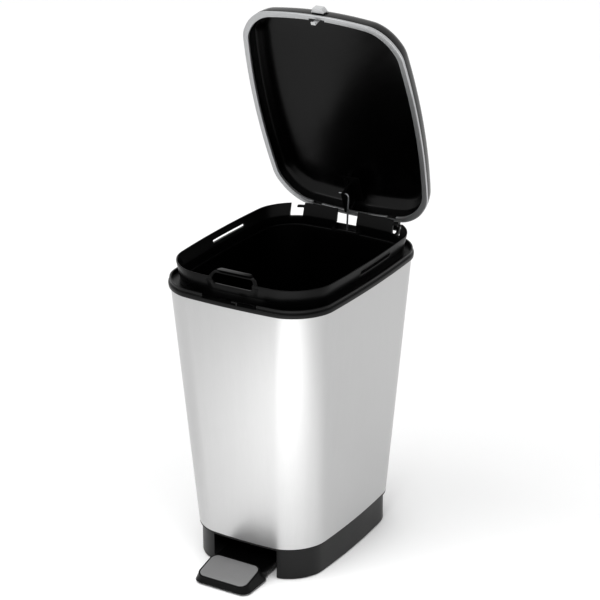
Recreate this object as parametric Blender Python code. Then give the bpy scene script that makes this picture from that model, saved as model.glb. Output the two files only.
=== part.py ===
"""Pedal waste bin: lid held open, pedal pressed. Metres, +Z up, front towards -Y."""
import math

import bmesh
import bpy
from mathutils import Matrix, Vector

# Clearances
GAP = 0.0003            # between two pieces that rest on each other
RUN_GAP = 0.0004        # round a pin or a rod that turns or slides
SIDE_GAP = 0.0005       # beside a knuckle that turns
SINK = 0.0010           # how far a joined piece sinks into the one it joins
PAST = 0.0010           # how far a cutter runs past the face it opens
FAR = 0.5000            # well outside the object

# Body outline: (half width, half depth, corner radius) at the sleeve's two ends
SLEEVE_Z0, SLEEVE_Z1 = 0.0546, 0.4565
SLEEVE_LOW = (0.1062, 0.1464, 0.0526)
SLEEVE_HIGH = (0.1325, 0.1745, 0.0556)
SIDE_BOW = 0.0083
SLEEVE_WALL = 0.0015
SLEEVE_CHAMFER = 0.0006

# Base plinth
BASE_Z0, BASE_FLOOR, BASE_WALL = 0.0015, 0.0040, 0.0025
BASE_INSET = 0.0044
BASE_FLANGE_Z = 0.0515
BASE_UPSTAND_Z = 0.0660
RECESS_HALF_W, RECESS_BACK_Y, RECESS_TOP_Z = 0.0570, -0.1000, 0.0510
RECESS_WALL_BACK_Y, RECESS_WALL_FRONT_Y, RECESS_ROOF_FRONT_Y = -0.1025, -0.1460, -0.1512
RECESS_ROOF_Z = 0.0540
BOSS_R, BOSS_TOP_Z, BOSS_BORE_R, BOSS_BORE_Z = 0.0080, 0.0080, 0.0045, 0.0050
FOOT_R, FOOT_TOP_Z, FOOT_X, FOOT_FRONT_Y, FOOT_REAR_Y = 0.0090, 0.0022, 0.0780, -0.0850, 0.1130

# Inner tub
TUB_INSET, TUB_REAR_INSET, TUB_WALL = 0.0045, 0.0137, 0.0020
TUB_FLOOR_Z, TUB_FLOOR_THICK, TUB_TOP_Z = 0.0705, 0.0025, 0.4572
POST_X, POST_FRONT_Y, POST_REAR_Y, POST_R, POST_BORE_Z = 0.0620, -0.0720, 0.1000, 0.0055, 0.0240
SCREW_SHANK_R, SCREW_HEAD_R, SCREW_HEAD_T = 0.0016, 0.0038, 0.0022
BASE_SCREW_LONG = 0.0140

# Top rim
RIM_OUT, RIM_Z0, RIM_STEP_Z, RIM_STEP_RISE, RIM_TOP_Z = 0.0030, 0.4545, 0.4605, 0.0015, 0.4672
RIM_BEAD_W, RIM_LEDGE_Z, RIM_LEDGE_T, RIM_LEDGE_IN = 0.0030, 0.4600, 0.0022, 0.0155
RIM_BEAD_OUT = 0.0005
RIM_SKIRT_Z, RIM_SKIRT_T = 0.4480, 0.0020
BEAD_GAP_HALF_W, BEAD_GAP_Z = 0.0470, 0.4606
KEEPER_X0, KEEPER_X1, KEEPER_POST_X, KEEPER_Y0, KEEPER_Y1 = 0.0050, 0.0150, 0.0127, -0.1850, -0.1812
KEEPER_Z0, KEEPER_Z1 = 0.4640, 0.4660

# Bag ring
RING_HALF_W, RING_HALF_D, RING_R, RING_SHIFT = 0.1271, 0.1689, 0.0581, 0.0014
RING_TOP_Z, RING_BAND_Z, RING_BAND_IN, RING_WALL = 0.4934, 0.4724, 0.0038, 0.0022
RING_FOOT_IN, RING_FOOT_W = 0.0052, 0.0030
RING_NOTCH_X = (-0.0225, 0.0145)
BRIDGE_Y0, BRIDGE_Y1, BRIDGE_END_Y, BRIDGE_END_W, BRIDGE_TOP_Z = 0.1650, 0.1695, 0.1725, 0.0060, 0.4620
HOOK_X0, HOOK_MOUTH_X, HOOK_X1 = 0.0810, 0.0912, 0.1010
HOOK_Z0, HOOK_TONGUE_Z, HOOK_TIP_Z = 0.4730, 0.4866, 0.4900
SLIT_Y0, SLIT_Y1, SLIT_Z0, SLIT_Z1 = -0.0250, 0.0660, 0.4790, 0.4840
GRIP_HALF_W, GRIP_TOP_HALF_W, GRIP_Z0, GRIP_Z1 = 0.0455, 0.0330, 0.4880, 0.5045
GRIP_Y0, GRIP_LEAN, GRIP_T = -0.1752, 0.0085, 0.0034
GRIP_HOLE_HALF_W, GRIP_HOLE_Z0, GRIP_HOLE_Z1, GRIP_HOLE_R = 0.0350, 0.4835, 0.4992, 0.0060

# Lid, drawn closed and then turned open about the hinge
LID_OPEN = math.radians(70.36)
HINGE_Y, HINGE_Z = 0.1980, 0.4722
LID_Z = 0.4695
LID_HALF_W, LID_HALF_D, LID_R_FRONT, LID_R_REAR, LID_BOW = 0.1337, 0.1756, 0.0469, 0.0505, 0.0138
LID_CORNER_SHARE, LID_CORNER_MOST = 0.6, 0.0240
TRIM_W, TRIM_H, TRIM_CHAMFER = 0.0085, 0.0040, 0.0008
LID_OUTER = ((0.0004, 0.0043), (0.0015, 0.0120), (0.0045, 0.0220), (0.0100, 0.0302),
             (0.0182, 0.0378), (0.0330, 0.0424), (0.0580, 0.0450), (0.0850, 0.0462))
LID_INNER = ((0.0082, 0.0043), (0.0082, 0.0064), (0.0036, 0.0064), (0.0065, 0.0215),
             (0.0118, 0.0290), (0.0195, 0.0360), (0.0340, 0.0403), (0.0580, 0.0427), (0.0850, 0.0439))
ARM_X0, ARM_X1, ARM_R, ARM_ROOT_Y, ARM_KNEE_Y = 0.0595, 0.0760, 0.0055, 0.1830, 0.1895
ARM_ROOT_Z0, ARM_ROOT_Z1 = 0.4750, 0.4890
EAR_T, EAR_R, EAR_ROOT_Y, EAR_KNEE_Y = 0.0040, 0.0058, 0.1815, 0.1888
EAR_ROOT_Z0, EAR_ROOT_Z1 = 0.4580, 0.4668
PIN_R = 0.0020
TRIM_NOTCH = 0.0010
LATCH_SLOT_X, LATCH_SLOT_Y1, LATCH_SLOT_Z0, LATCH_SLOT_Z1 = (-0.0120, 0.0150), -0.1775, 0.4800, 0.4870
LATCH_FLANGE_SLOT_Y0, LATCH_FLANGE_SLOT_Y1 = -0.1840, -0.1760
LATCH_HALF_W, LATCH_TOP_HALF_W, LATCH_Z0, LATCH_Z1, LATCH_OUT = 0.0105, 0.0075, 0.4772, 0.4905, 0.0085
LATCH_NECK_HALF_W, LATCH_NECK_Z0, LATCH_NECK_Z1, LATCH_PLATE = 0.0040, 0.4810, 0.4860, 0.0016
LATCH_OFF, LATCH_SLOPE, LATCH_EDGE_LOW, LATCH_EDGE_HIGH = 0.0001, 0.20, 0.0015, 0.0010
LATCH_TONGUE_Y0, LATCH_TONGUE_Y1, LATCH_FOOT_Y0 = -0.1805, -0.1785, -0.1835
LATCH_FOOT_Z0, LATCH_FOOT_Z1 = 0.4612, 0.4632

# Push rod
ROD_R, ROD_X, ROD_TOP_Y, ROD_TOP_Z, ROD_LEAN = 0.0015, -0.0040, 0.1780, 0.5200, 0.0699
ROD_TRAVEL = 0.0529
ROD_FOOT_Z, ROD_FOOT_Y, ROD_END_X, ROD_BEND = 0.0658, 0.1335, -0.0210, 0.0050
GUIDE_HALF_W, GUIDE_H, GUIDE_LOW_Z, GUIDE_HIGH_Z, GUIDE_BACK = 0.0080, 0.0100, 0.1200, 0.4100, 0.0035
BRACKET_X0, BRACKET_X1 = -0.0135, -0.0105
BRACKET_PLATE_X0, BRACKET_PLATE_X1, BRACKET_PLATE_T = -0.0255, 0.0030, 0.0025
BRACKET_PLATE_Y0, BRACKET_PLATE_Y1, BRACKET_PLATE_Z = 0.1330, 0.1770, 0.4945
BRACKET_EDGE, BRACKET_STEPS = 0.0026, 16
BRACKET_SCREW_X, BRACKET_SCREW_Y, BRACKET_SCREW_LONG, LID_BOSS_R = -0.0205, (0.1400, 0.1700), 0.0080, 0.0035
LID_BOSS_TOP = 0.0120

# Pedal and lever
AXLE_Y, AXLE_Z, AXLE_R, AXLE_HALF = -0.0610, 0.0220, 0.0030, 0.0310
PEDAL_TRAVEL = math.radians(15.1)
LEVER_HALF_W, LEVER_WALL = 0.0170, 0.0020
LEVER_TOP = ((-0.1540, 0.0112), (-0.0610, 0.0290), (0.1415, 0.0640))
LEVER_UNDER = ((-0.1540, 0.0050), (-0.0610, 0.0155), (0.1415, 0.0600))
BEARING_X0, BEARING_X1, BEARING_HALF_Y, BEARING_TOP_Z = 0.0180, 0.0260, 0.0090, 0.0290
BEARING_FOOT_X1, BEARING_FOOT_T, BEARING_SCREW_X = 0.0400, 0.0030, 0.0330
BEARING_SCREW_LONG, BEARING_BOSS_Z = 0.0050, 0.0040
PEDAL_HALF_W, PEDAL_Y0, PEDAL_Y1, PEDAL_R = 0.0450, -0.2219, -0.1673, 0.0140
PEDAL_FRONT_Z, PEDAL_SLOPE = 0.0145, math.radians(13.2)
PEDAL_SKIRT_HALF_W, PEDAL_SKIRT_Y0, PEDAL_SKIRT_Y1, PEDAL_SKIRT_Z = 0.0490, -0.2236, -0.1560, 0.0040
PAD_BORDER, PAD_DEPTH, PAD_RAISE = 0.0024, 0.0018, 0.0003
NECK_HALF_W, NECK_Y0, NECK_Y1 = 0.0440, -0.1800, -0.1180
NECK_TOP_FRONT_Z, NECK_TOP_REAR_Z = 0.0200, 0.0262
NECK_UNDER_Y, NECK_UNDER_Z = -0.1660, 0.0172
PEDAL_SCREW_Y = (-0.1450, -0.1280)
PEDAL_SCREW_LONG, PEDAL_SCREW_DROP = 0.0050, 0.0011

CORNER_STEPS, SIDE_STEPS, ROUND = 6, 4, 16

SILVER = ((0.62, 0.63, 0.64), 0.30, 0.9)
LIGHT = ((0.66, 0.67, 0.68), 0.35, 0.6)
BLACK = ((0.016, 0.016, 0.017), 0.50, 0.0)
GREY = ((0.17, 0.17, 0.17), 0.60, 0.0)
STEEL = ((0.42, 0.43, 0.44), 0.35, 1.0)
RUBBER = ((0.030, 0.030, 0.030), 0.90, 0.0)


def clear_scene():
    for obj in list(bpy.data.objects):
        bpy.data.objects.remove(obj, do_unlink=True)


def collection(name, hidden=False):
    made = bpy.data.collections.new(name)
    bpy.context.scene.collection.children.link(made)
    made.hide_render = hidden
    return made


def outline(half_w, half_d, r_front, r_rear, bow, shift=0.0):
    """Anticlockwise rounded rectangle whose sides bow outwards."""
    corners = ((1, 1, r_rear, 0), (-1, 1, r_rear, 90), (-1, -1, r_front, 180), (1, -1, r_front, 270))
    arcs = []
    for sx, sy, r, start in corners:
        cx, cy = sx * (half_w - r), sy * (half_d - r)
        turns = [math.radians(start + 90 * i / CORNER_STEPS) for i in range(CORNER_STEPS + 1)]
        arcs.append([(cx + r * math.cos(t), cy + r * math.sin(t)) for t in turns])
    points = []
    for arc, following in zip(arcs, arcs[1:] + arcs[:1]):
        points += arc
        (x0, y0), (x1, y1) = arc[-1], following[0]
        for i in range(1, SIDE_STEPS):
            points.append((x0 + (x1 - x0) * i / SIDE_STEPS, y0 + (y1 - y0) * i / SIDE_STEPS))
    return [(x * (1 + bow / half_w * (1 - (y / half_d) ** 2)),
             y * (1 + bow / half_d * (1 - (x / half_w) ** 2)) + shift) for x, y in points]


def body_loop(z, inset=0.0, shift=0.0, trim_depth=0.0):
    """The body's outline at a height, moved inwards."""
    part = (z - SLEEVE_Z0) / (SLEEVE_Z1 - SLEEVE_Z0)
    half_w, half_d, r = (a + (b - a) * part for a, b in zip(SLEEVE_LOW, SLEEVE_HIGH))
    r = r - inset
    flat = outline(half_w - inset, half_d - inset - trim_depth, r, r, SIDE_BOW, shift)
    return [(x, y, z) for x, y in flat]


def tub_loop(z, inset=0.0):
    extra = (TUB_REAR_INSET - TUB_INSET) / 2
    return body_loop(z, TUB_INSET + inset, -extra, extra)


def base_loop(z, inset=0.0):
    return [(x, y, z) for x, y, _ in body_loop(SLEEVE_Z0, BASE_INSET + inset)]


def ring_loop(z, inset=0.0):
    r = RING_R - inset
    flat = outline(RING_HALF_W - inset, RING_HALF_D - inset, r, r, SIDE_BOW, RING_SHIFT)
    return [(x, y, z) for x, y in flat]


def lid_loop(inset, height):
    less = min(LID_CORNER_SHARE * inset, LID_CORNER_MOST)
    flat = outline(LID_HALF_W - inset, LID_HALF_D - inset, LID_R_FRONT - less, LID_R_REAR - less, LID_BOW)
    return [(x, y, LID_Z + height) for x, y in flat]


def new_object(name, bm, home):
    bmesh.ops.recalc_face_normals(bm, faces=bm.faces[:])
    mesh = bpy.data.meshes.new(name)
    bm.to_mesh(mesh)
    bm.free()
    obj = bpy.data.objects.new(name, mesh)
    home.objects.link(obj)
    return obj


def loft(name, loops, home, ring=False):
    """Faces between one loop and the next; a ring joins its last to its first, else both ends are closed."""
    bm = bmesh.new()
    rows = [[bm.verts.new(p) for p in loop] for loop in loops]
    pairs = list(zip(rows, rows[1:])) + ([(rows[-1], rows[0])] if ring else [])
    for low, high in pairs:
        for i in range(len(low)):
            j = (i + 1) % len(low)
            bm.faces.new((low[i], low[j], high[j], high[i]))
    if not ring:
        bm.faces.new(rows[0])
        bm.faces.new(rows[-1])
    return new_object(name, bm, home)


def box(name, x, y, z, home):
    bm = bmesh.new()
    bmesh.ops.create_cube(bm, size=1.0)
    for v in bm.verts:
        v.co = Vector((x[v.co.x > 0], y[v.co.y > 0], z[v.co.z > 0]))
    return new_object(name, bm, home)


def cylinder(name, radius, start, end, home):
    start, end = Vector(start), Vector(end)
    bm = bmesh.new()
    turn = (end - start).to_track_quat("Z", "Y").to_matrix().to_4x4()
    bmesh.ops.create_cone(bm, cap_ends=True, segments=ROUND, radius1=radius, radius2=radius,
                          depth=(end - start).length, matrix=Matrix.Translation((start + end) / 2) @ turn)
    return new_object(name, bm, home)


def prism(name, flat, x0, x1, home):
    """A shape drawn in (y, z), drawn out along X."""
    return loft(name, [[(x, y, z) for y, z in flat] for x in (x0, x1)], home)


def wall_prism(name, flat, y0, y1, home):
    """A shape drawn in (x, z), drawn out along Y."""
    return loft(name, [[(x, y, z) for x, z in flat] for y in (y0, y1)], home)


def arc(cy, cz, r, start, end, steps=12):
    turns = [math.radians(start + (end - start) * i / steps) for i in range(steps + 1)]
    return [(cy + r * math.cos(t), cz + r * math.sin(t)) for t in turns]


def change(obj, tool, operation):
    modifier = obj.modifiers.new(tool.name, "BOOLEAN")
    modifier.operation, modifier.solver, modifier.object = operation, "EXACT", tool
    tool.hide_render, tool.display_type = True, "WIRE"
    tool.parent, tool.location = obj.parent, obj.location


def join(obj, *tools):
    for tool in tools:
        change(obj, tool, "UNION")


def cut(obj, *tools):
    for tool in tools:
        change(obj, tool, "DIFFERENCE")


def pivot(name, place, turn=0.0, home=None):
    empty = bpy.data.objects.new(name, None)
    empty.location, empty.rotation_euler.x = place, turn
    empty.empty_display_size = 0.02
    home.objects.link(empty)
    return empty


def ride(obj, carrier, place):
    """Hangs a piece drawn in world coordinates on its joint's empty."""
    obj.parent, obj.location = carrier, [-c for c in place]
    for modifier in obj.modifiers:
        modifier.object.parent, modifier.object.location = carrier, obj.location


def paint(obj, look):
    colour, roughness, metallic = look
    material = bpy.data.materials.new(obj.name)
    material.use_nodes = True
    shader = material.node_tree.nodes["Principled BSDF"]
    shader.inputs["Base Color"].default_value = (*colour, 1)
    shader.inputs["Roughness"].default_value = roughness
    shader.inputs["Metallic"].default_value = metallic
    obj.data.materials.append(material)
    return obj


def smooth(obj):
    for face in obj.data.polygons:
        face.use_smooth = len(face.vertices) == 4
    return obj


def outer_sleeve():
    ends = [body_loop(SLEEVE_Z0, SLEEVE_CHAMFER), body_loop(SLEEVE_Z0 + SLEEVE_CHAMFER),
            body_loop(SLEEVE_Z1), body_loop(SLEEVE_Z1, SLEEVE_WALL), body_loop(SLEEVE_Z0, SLEEVE_WALL)]
    return paint(smooth(loft("outer_sleeve", ends, PARTS, ring=True)), SILVER)


def base_plinth():
    inside = SLEEVE_WALL + GAP
    loops = [base_loop(BASE_Z0, SLEEVE_CHAMFER), base_loop(BASE_Z0 + SLEEVE_CHAMFER),
             base_loop(BASE_FLANGE_Z), body_loop(BASE_FLANGE_Z, GAP), body_loop(SLEEVE_Z0 - GAP, GAP),
             body_loop(SLEEVE_Z0 - GAP, inside), body_loop(BASE_UPSTAND_Z, inside), body_loop(BASE_UPSTAND_Z, inside + BASE_WALL),
             body_loop(SLEEVE_Z0 - GAP, inside + BASE_WALL), base_loop(SLEEVE_Z0 - GAP, BASE_WALL),
             base_loop(BASE_FLOOR, BASE_WALL)]
    base = paint(smooth(loft("base_plinth", loops, PARTS)), BLACK)
    wide = RECESS_HALF_W + BASE_WALL
    join(base,
         box("recess_block", (-wide, wide), (RECESS_WALL_FRONT_Y, RECESS_WALL_BACK_Y),
             (BASE_Z0 + GAP, RECESS_ROOF_Z), TOOLS),
         box("recess_roof", (-wide, wide), (RECESS_ROOF_FRONT_Y, RECESS_WALL_BACK_Y - GAP),
             (RECESS_TOP_Z - GAP, RECESS_ROOF_Z - GAP), TOOLS))
    cut(base, box("recess_cut", (-RECESS_HALF_W, RECESS_HALF_W), (-FAR, RECESS_BACK_Y),
                  (-PAST, RECESS_TOP_Z), TOOLS))
    for i, (x, y) in enumerate(post_places()):
        join(base, cylinder(f"boss_{i}", BOSS_R, (x, y, BASE_Z0 + GAP), (x, y, BOSS_TOP_Z), TOOLS))
        cut(base, cylinder(f"boss_bore_{i}", BOSS_BORE_R, (x, y, -PAST), (x, y, BOSS_BORE_Z), TOOLS),
            cylinder(f"boss_hole_{i}", SCREW_SHANK_R + RUN_GAP, (x, y, 0), (x, y, BOSS_TOP_Z + PAST), TOOLS))
    for i, (x, y) in enumerate(foot_places()):
        cut(base, cylinder(f"foot_seat_{i}", FOOT_R + GAP, (x, y, -PAST), (x, y, FOOT_TOP_Z + GAP), TOOLS))
    for side in (-1, 1):
        x = side * BEARING_SCREW_X
        join(base, cylinder(f"bearing_boss_{side}", BOSS_BORE_R, (x, AXLE_Y, BASE_Z0 + GAP),
                            (x, AXLE_Y, BASE_FLOOR + BEARING_BOSS_Z), TOOLS))
        cut(base, cylinder(f"bearing_hole_{side}", SCREW_SHANK_R + GAP, (x, AXLE_Y, BASE_FLOOR - GAP),
                           (x, AXLE_Y, BASE_FLOOR + BEARING_BOSS_Z + PAST), TOOLS))
    return base


def post_places():
    return [(x, y) for x in (-POST_X, POST_X) for y in (POST_FRONT_Y, POST_REAR_Y)]


def foot_places():
    return [(x, y) for x in (-FOOT_X, FOOT_X) for y in (FOOT_FRONT_Y, FOOT_REAR_Y)]


def inner_tub():
    loops = [tub_loop(TUB_FLOOR_Z), tub_loop(TUB_TOP_Z), tub_loop(TUB_TOP_Z, TUB_WALL),
             tub_loop(TUB_FLOOR_Z + TUB_FLOOR_THICK, TUB_WALL)]
    tub = paint(smooth(loft("inner_tub", loops, PARTS)), BLACK)
    for i, (x, y) in enumerate(post_places()):
        low = BOSS_TOP_Z + GAP
        join(tub, cylinder(f"post_{i}", POST_R, (x, y, low),
                           (x, y, TUB_FLOOR_Z + TUB_FLOOR_THICK / 2), TOOLS))
        cut(tub, cylinder(f"post_bore_{i}", SCREW_SHANK_R + GAP, (x, y, low - PAST),
                          (x, y, POST_BORE_Z), TOOLS))
    return tub


def top_rim():
    groove_z = SLEEVE_Z1 + GAP
    inside = SLEEVE_WALL + GAP
    under = RIM_LEDGE_Z - RIM_LEDGE_T
    loops = [body_loop(RIM_Z0, -RIM_OUT), body_loop(RIM_STEP_Z, -RIM_OUT),
             body_loop(RIM_STEP_Z + RIM_STEP_RISE, -RIM_BEAD_OUT), body_loop(RIM_TOP_Z, -RIM_BEAD_OUT),
             body_loop(RIM_TOP_Z, RIM_BEAD_W - RIM_BEAD_OUT), body_loop(RIM_LEDGE_Z, RIM_BEAD_W - RIM_BEAD_OUT),
             body_loop(RIM_LEDGE_Z, RIM_LEDGE_IN), body_loop(under, RIM_LEDGE_IN),
             body_loop(under, inside + RIM_SKIRT_T), body_loop(RIM_SKIRT_Z, inside + RIM_SKIRT_T),
             body_loop(RIM_SKIRT_Z, inside), body_loop(groove_z, inside), body_loop(groove_z, -GAP),
             body_loop(RIM_Z0, -GAP)]
    rim = paint(smooth(loft("top_rim", loops, PARTS, ring=True)), BLACK)
    cut(rim, box("bead_gap", (-BEAD_GAP_HALF_W, BEAD_GAP_HALF_W), (-FAR, 0), (BEAD_GAP_Z, FAR), TOOLS))
    for i, x in enumerate(ear_places()):
        shape = [(EAR_ROOT_Y, EAR_ROOT_Z0)] + arc(HINGE_Y, HINGE_Z, EAR_R, -75, 175)
        shape += [(EAR_KNEE_Y, EAR_ROOT_Z1), (EAR_ROOT_Y, EAR_ROOT_Z1)]
        join(rim, prism(f"ear_{i}", shape, x, x + EAR_T, TOOLS))
        cut(rim, cylinder(f"ear_hole_{i}", PIN_R + GAP / 2, (x - PAST, HINGE_Y, HINGE_Z),
                          (x + EAR_T + PAST, HINGE_Y, HINGE_Z), TOOLS))
    rod_y = rod_line(RIM_LEDGE_Z)
    reach = ROD_R + 2 * RUN_GAP
    cut(rim, box("rod_slot", (ROD_X - reach, ROD_X + reach), (rod_y - reach, rod_y + reach),
                 (under - PAST, RIM_LEDGE_Z + PAST), TOOLS))
    join(rim, box("keeper", (KEEPER_X0, KEEPER_X1), (KEEPER_Y0, KEEPER_Y1), (KEEPER_Z0, KEEPER_Z1), TOOLS),
         box("keeper_post", (KEEPER_POST_X, KEEPER_X1 + GAP), (KEEPER_Y0 + GAP, KEEPER_Y1 - GAP),
             (RIM_LEDGE_Z - RIM_LEDGE_T / 2, KEEPER_Z1 - GAP), TOOLS))
    return rim


def ear_places():
    inner, outer = ARM_X0 - SIDE_GAP - EAR_T, ARM_X1 + SIDE_GAP
    return [inner, outer, -inner - EAR_T, -outer - EAR_T]


def bag_ring():
    foot = RING_FOOT_IN + RING_FOOT_W
    low = RIM_LEDGE_Z + GAP
    loops = [ring_loop(RING_BAND_Z, RING_BAND_IN), ring_loop(RING_TOP_Z), ring_loop(RING_TOP_Z, RING_WALL),
             ring_loop(RING_BAND_Z + RING_WALL, foot), ring_loop(low, foot), ring_loop(low, RING_FOOT_IN),
             ring_loop(RING_BAND_Z, RING_FOOT_IN)]
    ring = paint(smooth(loft("bag_ring", loops, PARTS, ring=True)), BLACK)
    y1 = GRIP_Y0 + GRIP_LEAN
    shape = [(-GRIP_HALF_W, GRIP_Z0), (GRIP_HALF_W, GRIP_Z0), (GRIP_TOP_HALF_W, GRIP_Z1),
             (-GRIP_TOP_HALF_W, GRIP_Z1)]
    lean = [(GRIP_Y0, 0), (GRIP_Y0, 0), (y1, 0), (y1, 0)]
    faces = [[(x, y + t, z) for (x, z), (y, _) in zip(shape, lean)] for t in (0, GRIP_T)]
    join(ring, loft("grip", faces, TOOLS))
    hole = rounded(GRIP_HOLE_HALF_W, GRIP_HOLE_Z0, GRIP_HOLE_Z1, GRIP_HOLE_R)
    cut(ring, wall_prism("grip_hole", hole, -FAR, 0, TOOLS),
        box("rod_notch", RING_NOTCH_X, (0, FAR), (low - PAST, RING_TOP_Z + PAST), TOOLS))
    x0, x1 = RING_NOTCH_X[0] - SIDE_GAP, RING_NOTCH_X[1] + SIDE_GAP
    end0, end1 = x0 - BRIDGE_END_W, x1 + BRIDGE_END_W
    bridge = [(end0, BRIDGE_Y0), (end1, BRIDGE_Y0), (end1, BRIDGE_END_Y), (x1, BRIDGE_END_Y), (x1, BRIDGE_Y1),
              (x0, BRIDGE_Y1), (x0, BRIDGE_END_Y), (end0, BRIDGE_END_Y)]
    join(ring, loft("bridge", [[(x, y, z) for x, y in bridge] for z in (low + GAP, BRIDGE_TOP_Z)], TOOLS))
    for side in (-1, 1):
        mouth = sorted((side * HOOK_MOUTH_X, side * HOOK_X1))
        cut(ring, box(f"hook_{side}", sorted((side * HOOK_X0, side * HOOK_X1)), (0, FAR),
                      (HOOK_Z0, HOOK_TONGUE_Z), TOOLS),
            box(f"mouth_{side}", mouth, (0, FAR), (HOOK_TONGUE_Z - GAP, FAR), TOOLS),
            box(f"tip_{side}", sorted((side * (HOOK_X0 - GAP), side * (HOOK_MOUTH_X + GAP))), (0, FAR),
                (HOOK_TIP_Z, FAR), TOOLS),
            box(f"slit_{side}", sorted((0, side * FAR)), (SLIT_Y0, SLIT_Y1), (SLIT_Z0, SLIT_Z1), TOOLS))
    return ring


def rounded(half_w, z0, z1, r):
    points = []
    for cx, cz, start in ((half_w - r, z1 - r, 0), (r - half_w, z1 - r, 90), (r - half_w, z0 + r, 180),
                          (half_w - r, z0 + r, 270)):
        points += arc(cx, cz, r, start, start + 90, 4)
    return points


def lid_shell():
    loops = [lid_loop(*at) for at in reversed(LID_OUTER)] + [lid_loop(*at) for at in LID_INNER]
    shell = paint(smooth(loft("lid_shell", loops, PARTS)), BLACK)
    for side in (-1, 1):
        shape = [(ARM_ROOT_Y, ARM_ROOT_Z0), (ARM_KNEE_Y, ARM_ROOT_Z0)]
        shape += arc(HINGE_Y, HINGE_Z, ARM_R, -120, 80) + [(ARM_ROOT_Y, ARM_ROOT_Z1)]
        x0, x1 = sorted((side * ARM_X0, side * ARM_X1))
        join(shell, prism(f"arm_{side}", shape, x0, x1, TOOLS))
        cut(shell, cylinder(f"arm_hole_{side}", PIN_R + RUN_GAP, (x0 - PAST, HINGE_Y, HINGE_Z),
                            (x1 + PAST, HINGE_Y, HINGE_Z), TOOLS))
    for i, y in enumerate(BRACKET_SCREW_Y):
        low = BRACKET_PLATE_Z + BRACKET_PLATE_T + GAP
        join(shell, cylinder(f"lid_boss_{i}", LID_BOSS_R, (BRACKET_SCREW_X, y, low),
                             (BRACKET_SCREW_X, y, lid_inner_z(y) + SINK), TOOLS))
        cut(shell, cylinder(f"lid_boss_hole_{i}", SCREW_SHANK_R + GAP, (BRACKET_SCREW_X, y, low - PAST),
                            (BRACKET_SCREW_X, y, low + BRACKET_SCREW_LONG - BRACKET_PLATE_T + GAP), TOOLS))
    cut(shell, box("latch_slot", LATCH_SLOT_X, (-FAR, LATCH_SLOT_Y1), (LATCH_SLOT_Z0, LATCH_SLOT_Z1), TOOLS),
        box("latch_flange_slot", LATCH_SLOT_X, (LATCH_FLANGE_SLOT_Y0, LATCH_FLANGE_SLOT_Y1),
            (LID_Z, LATCH_SLOT_Z0 + GAP), TOOLS))
    return shell


def lid_inner_z(y):
    """Height of the lid's inner face on the centre line."""
    inset = LID_HALF_D + LID_BOW - abs(y)
    for (a, za), (b, zb) in zip(LID_INNER[3:], LID_INNER[4:]):
        if a <= inset <= b:
            return LID_Z + za + (zb - za) * (inset - a) / (b - a)
    return LID_Z + LID_INNER[-1][1]


def lid_trim_ring():
    loops = [lid_loop(TRIM_CHAMFER, 0), lid_loop(0, TRIM_CHAMFER), lid_loop(0, TRIM_H),
             lid_loop(TRIM_W, TRIM_H), lid_loop(TRIM_W, 0)]
    trim = paint(smooth(loft("lid_trim_ring", loops, PARTS, ring=True)), SILVER)
    rear = LID_HALF_D + LID_BOW - TRIM_W
    for side in (-1, 1):
        cut(trim, box(f"trim_notch_{side}", sorted((side * ARM_X0, side * ARM_X1)), (0, rear + TRIM_NOTCH),
                      (LID_Z - PAST, LID_Z + TRIM_H + PAST), TOOLS))
    cut(trim, box("trim_latch_gap", LATCH_SLOT_X, (LATCH_FLANGE_SLOT_Y0, 0),
                  (LID_Z - PAST, LID_Z + TRIM_H + PAST), TOOLS))
    return trim


def lid_latch():
    face = -(LID_HALF_D + LID_BOW)

    def outline_at(half_w, low, high, out):
        corners = ((-half_w, low), (half_w, low), (half_w, high), (-half_w, high))
        return [(x, face - out + (z - LATCH_Z0) * LATCH_SLOPE, z) for x, z in corners]

    loops = [outline_at(LATCH_HALF_W, LATCH_Z0, LATCH_Z1, LATCH_OFF),
             outline_at(LATCH_HALF_W, LATCH_Z0, LATCH_Z1, LATCH_OFF + LATCH_PLATE),
             outline_at(LATCH_TOP_HALF_W, LATCH_Z0 + LATCH_EDGE_LOW, LATCH_Z1 - LATCH_EDGE_HIGH, LATCH_OUT)]
    latch = paint(loft("lid_latch", loops, PARTS), LIGHT)
    neck = LATCH_NECK_HALF_W
    join(latch, box("latch_neck", (-neck, neck), (face - LATCH_PLATE, LATCH_TONGUE_Y1),
                    (LATCH_NECK_Z0, LATCH_NECK_Z1), TOOLS),
         box("latch_tongue", (GAP - neck, neck - GAP), (LATCH_TONGUE_Y0, LATCH_TONGUE_Y1 - GAP),
             (LATCH_FOOT_Z0 + GAP, LATCH_NECK_Z1 - GAP), TOOLS),
         box("latch_foot", (-neck, neck), (LATCH_FOOT_Y0, LATCH_TONGUE_Y1 - 2 * GAP),
             (LATCH_FOOT_Z0, LATCH_FOOT_Z1), TOOLS))
    return latch


def hinge_pins():
    ends = (ARM_X0 - SIDE_GAP - EAR_T, ARM_X1 + SIDE_GAP + EAR_T)
    for name, side in (("hinge_pin_left", -1), ("hinge_pin_right", 1)):
        paint(smooth(cylinder(name, PIN_R, (side * ends[0], HINGE_Y, HINGE_Z),
                              (side * ends[1], HINGE_Y, HINGE_Z), PARTS)), STEEL)


def rod_line(z):
    return ROD_TOP_Y - (ROD_TOP_Z - z) * ROD_LEAN


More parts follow.
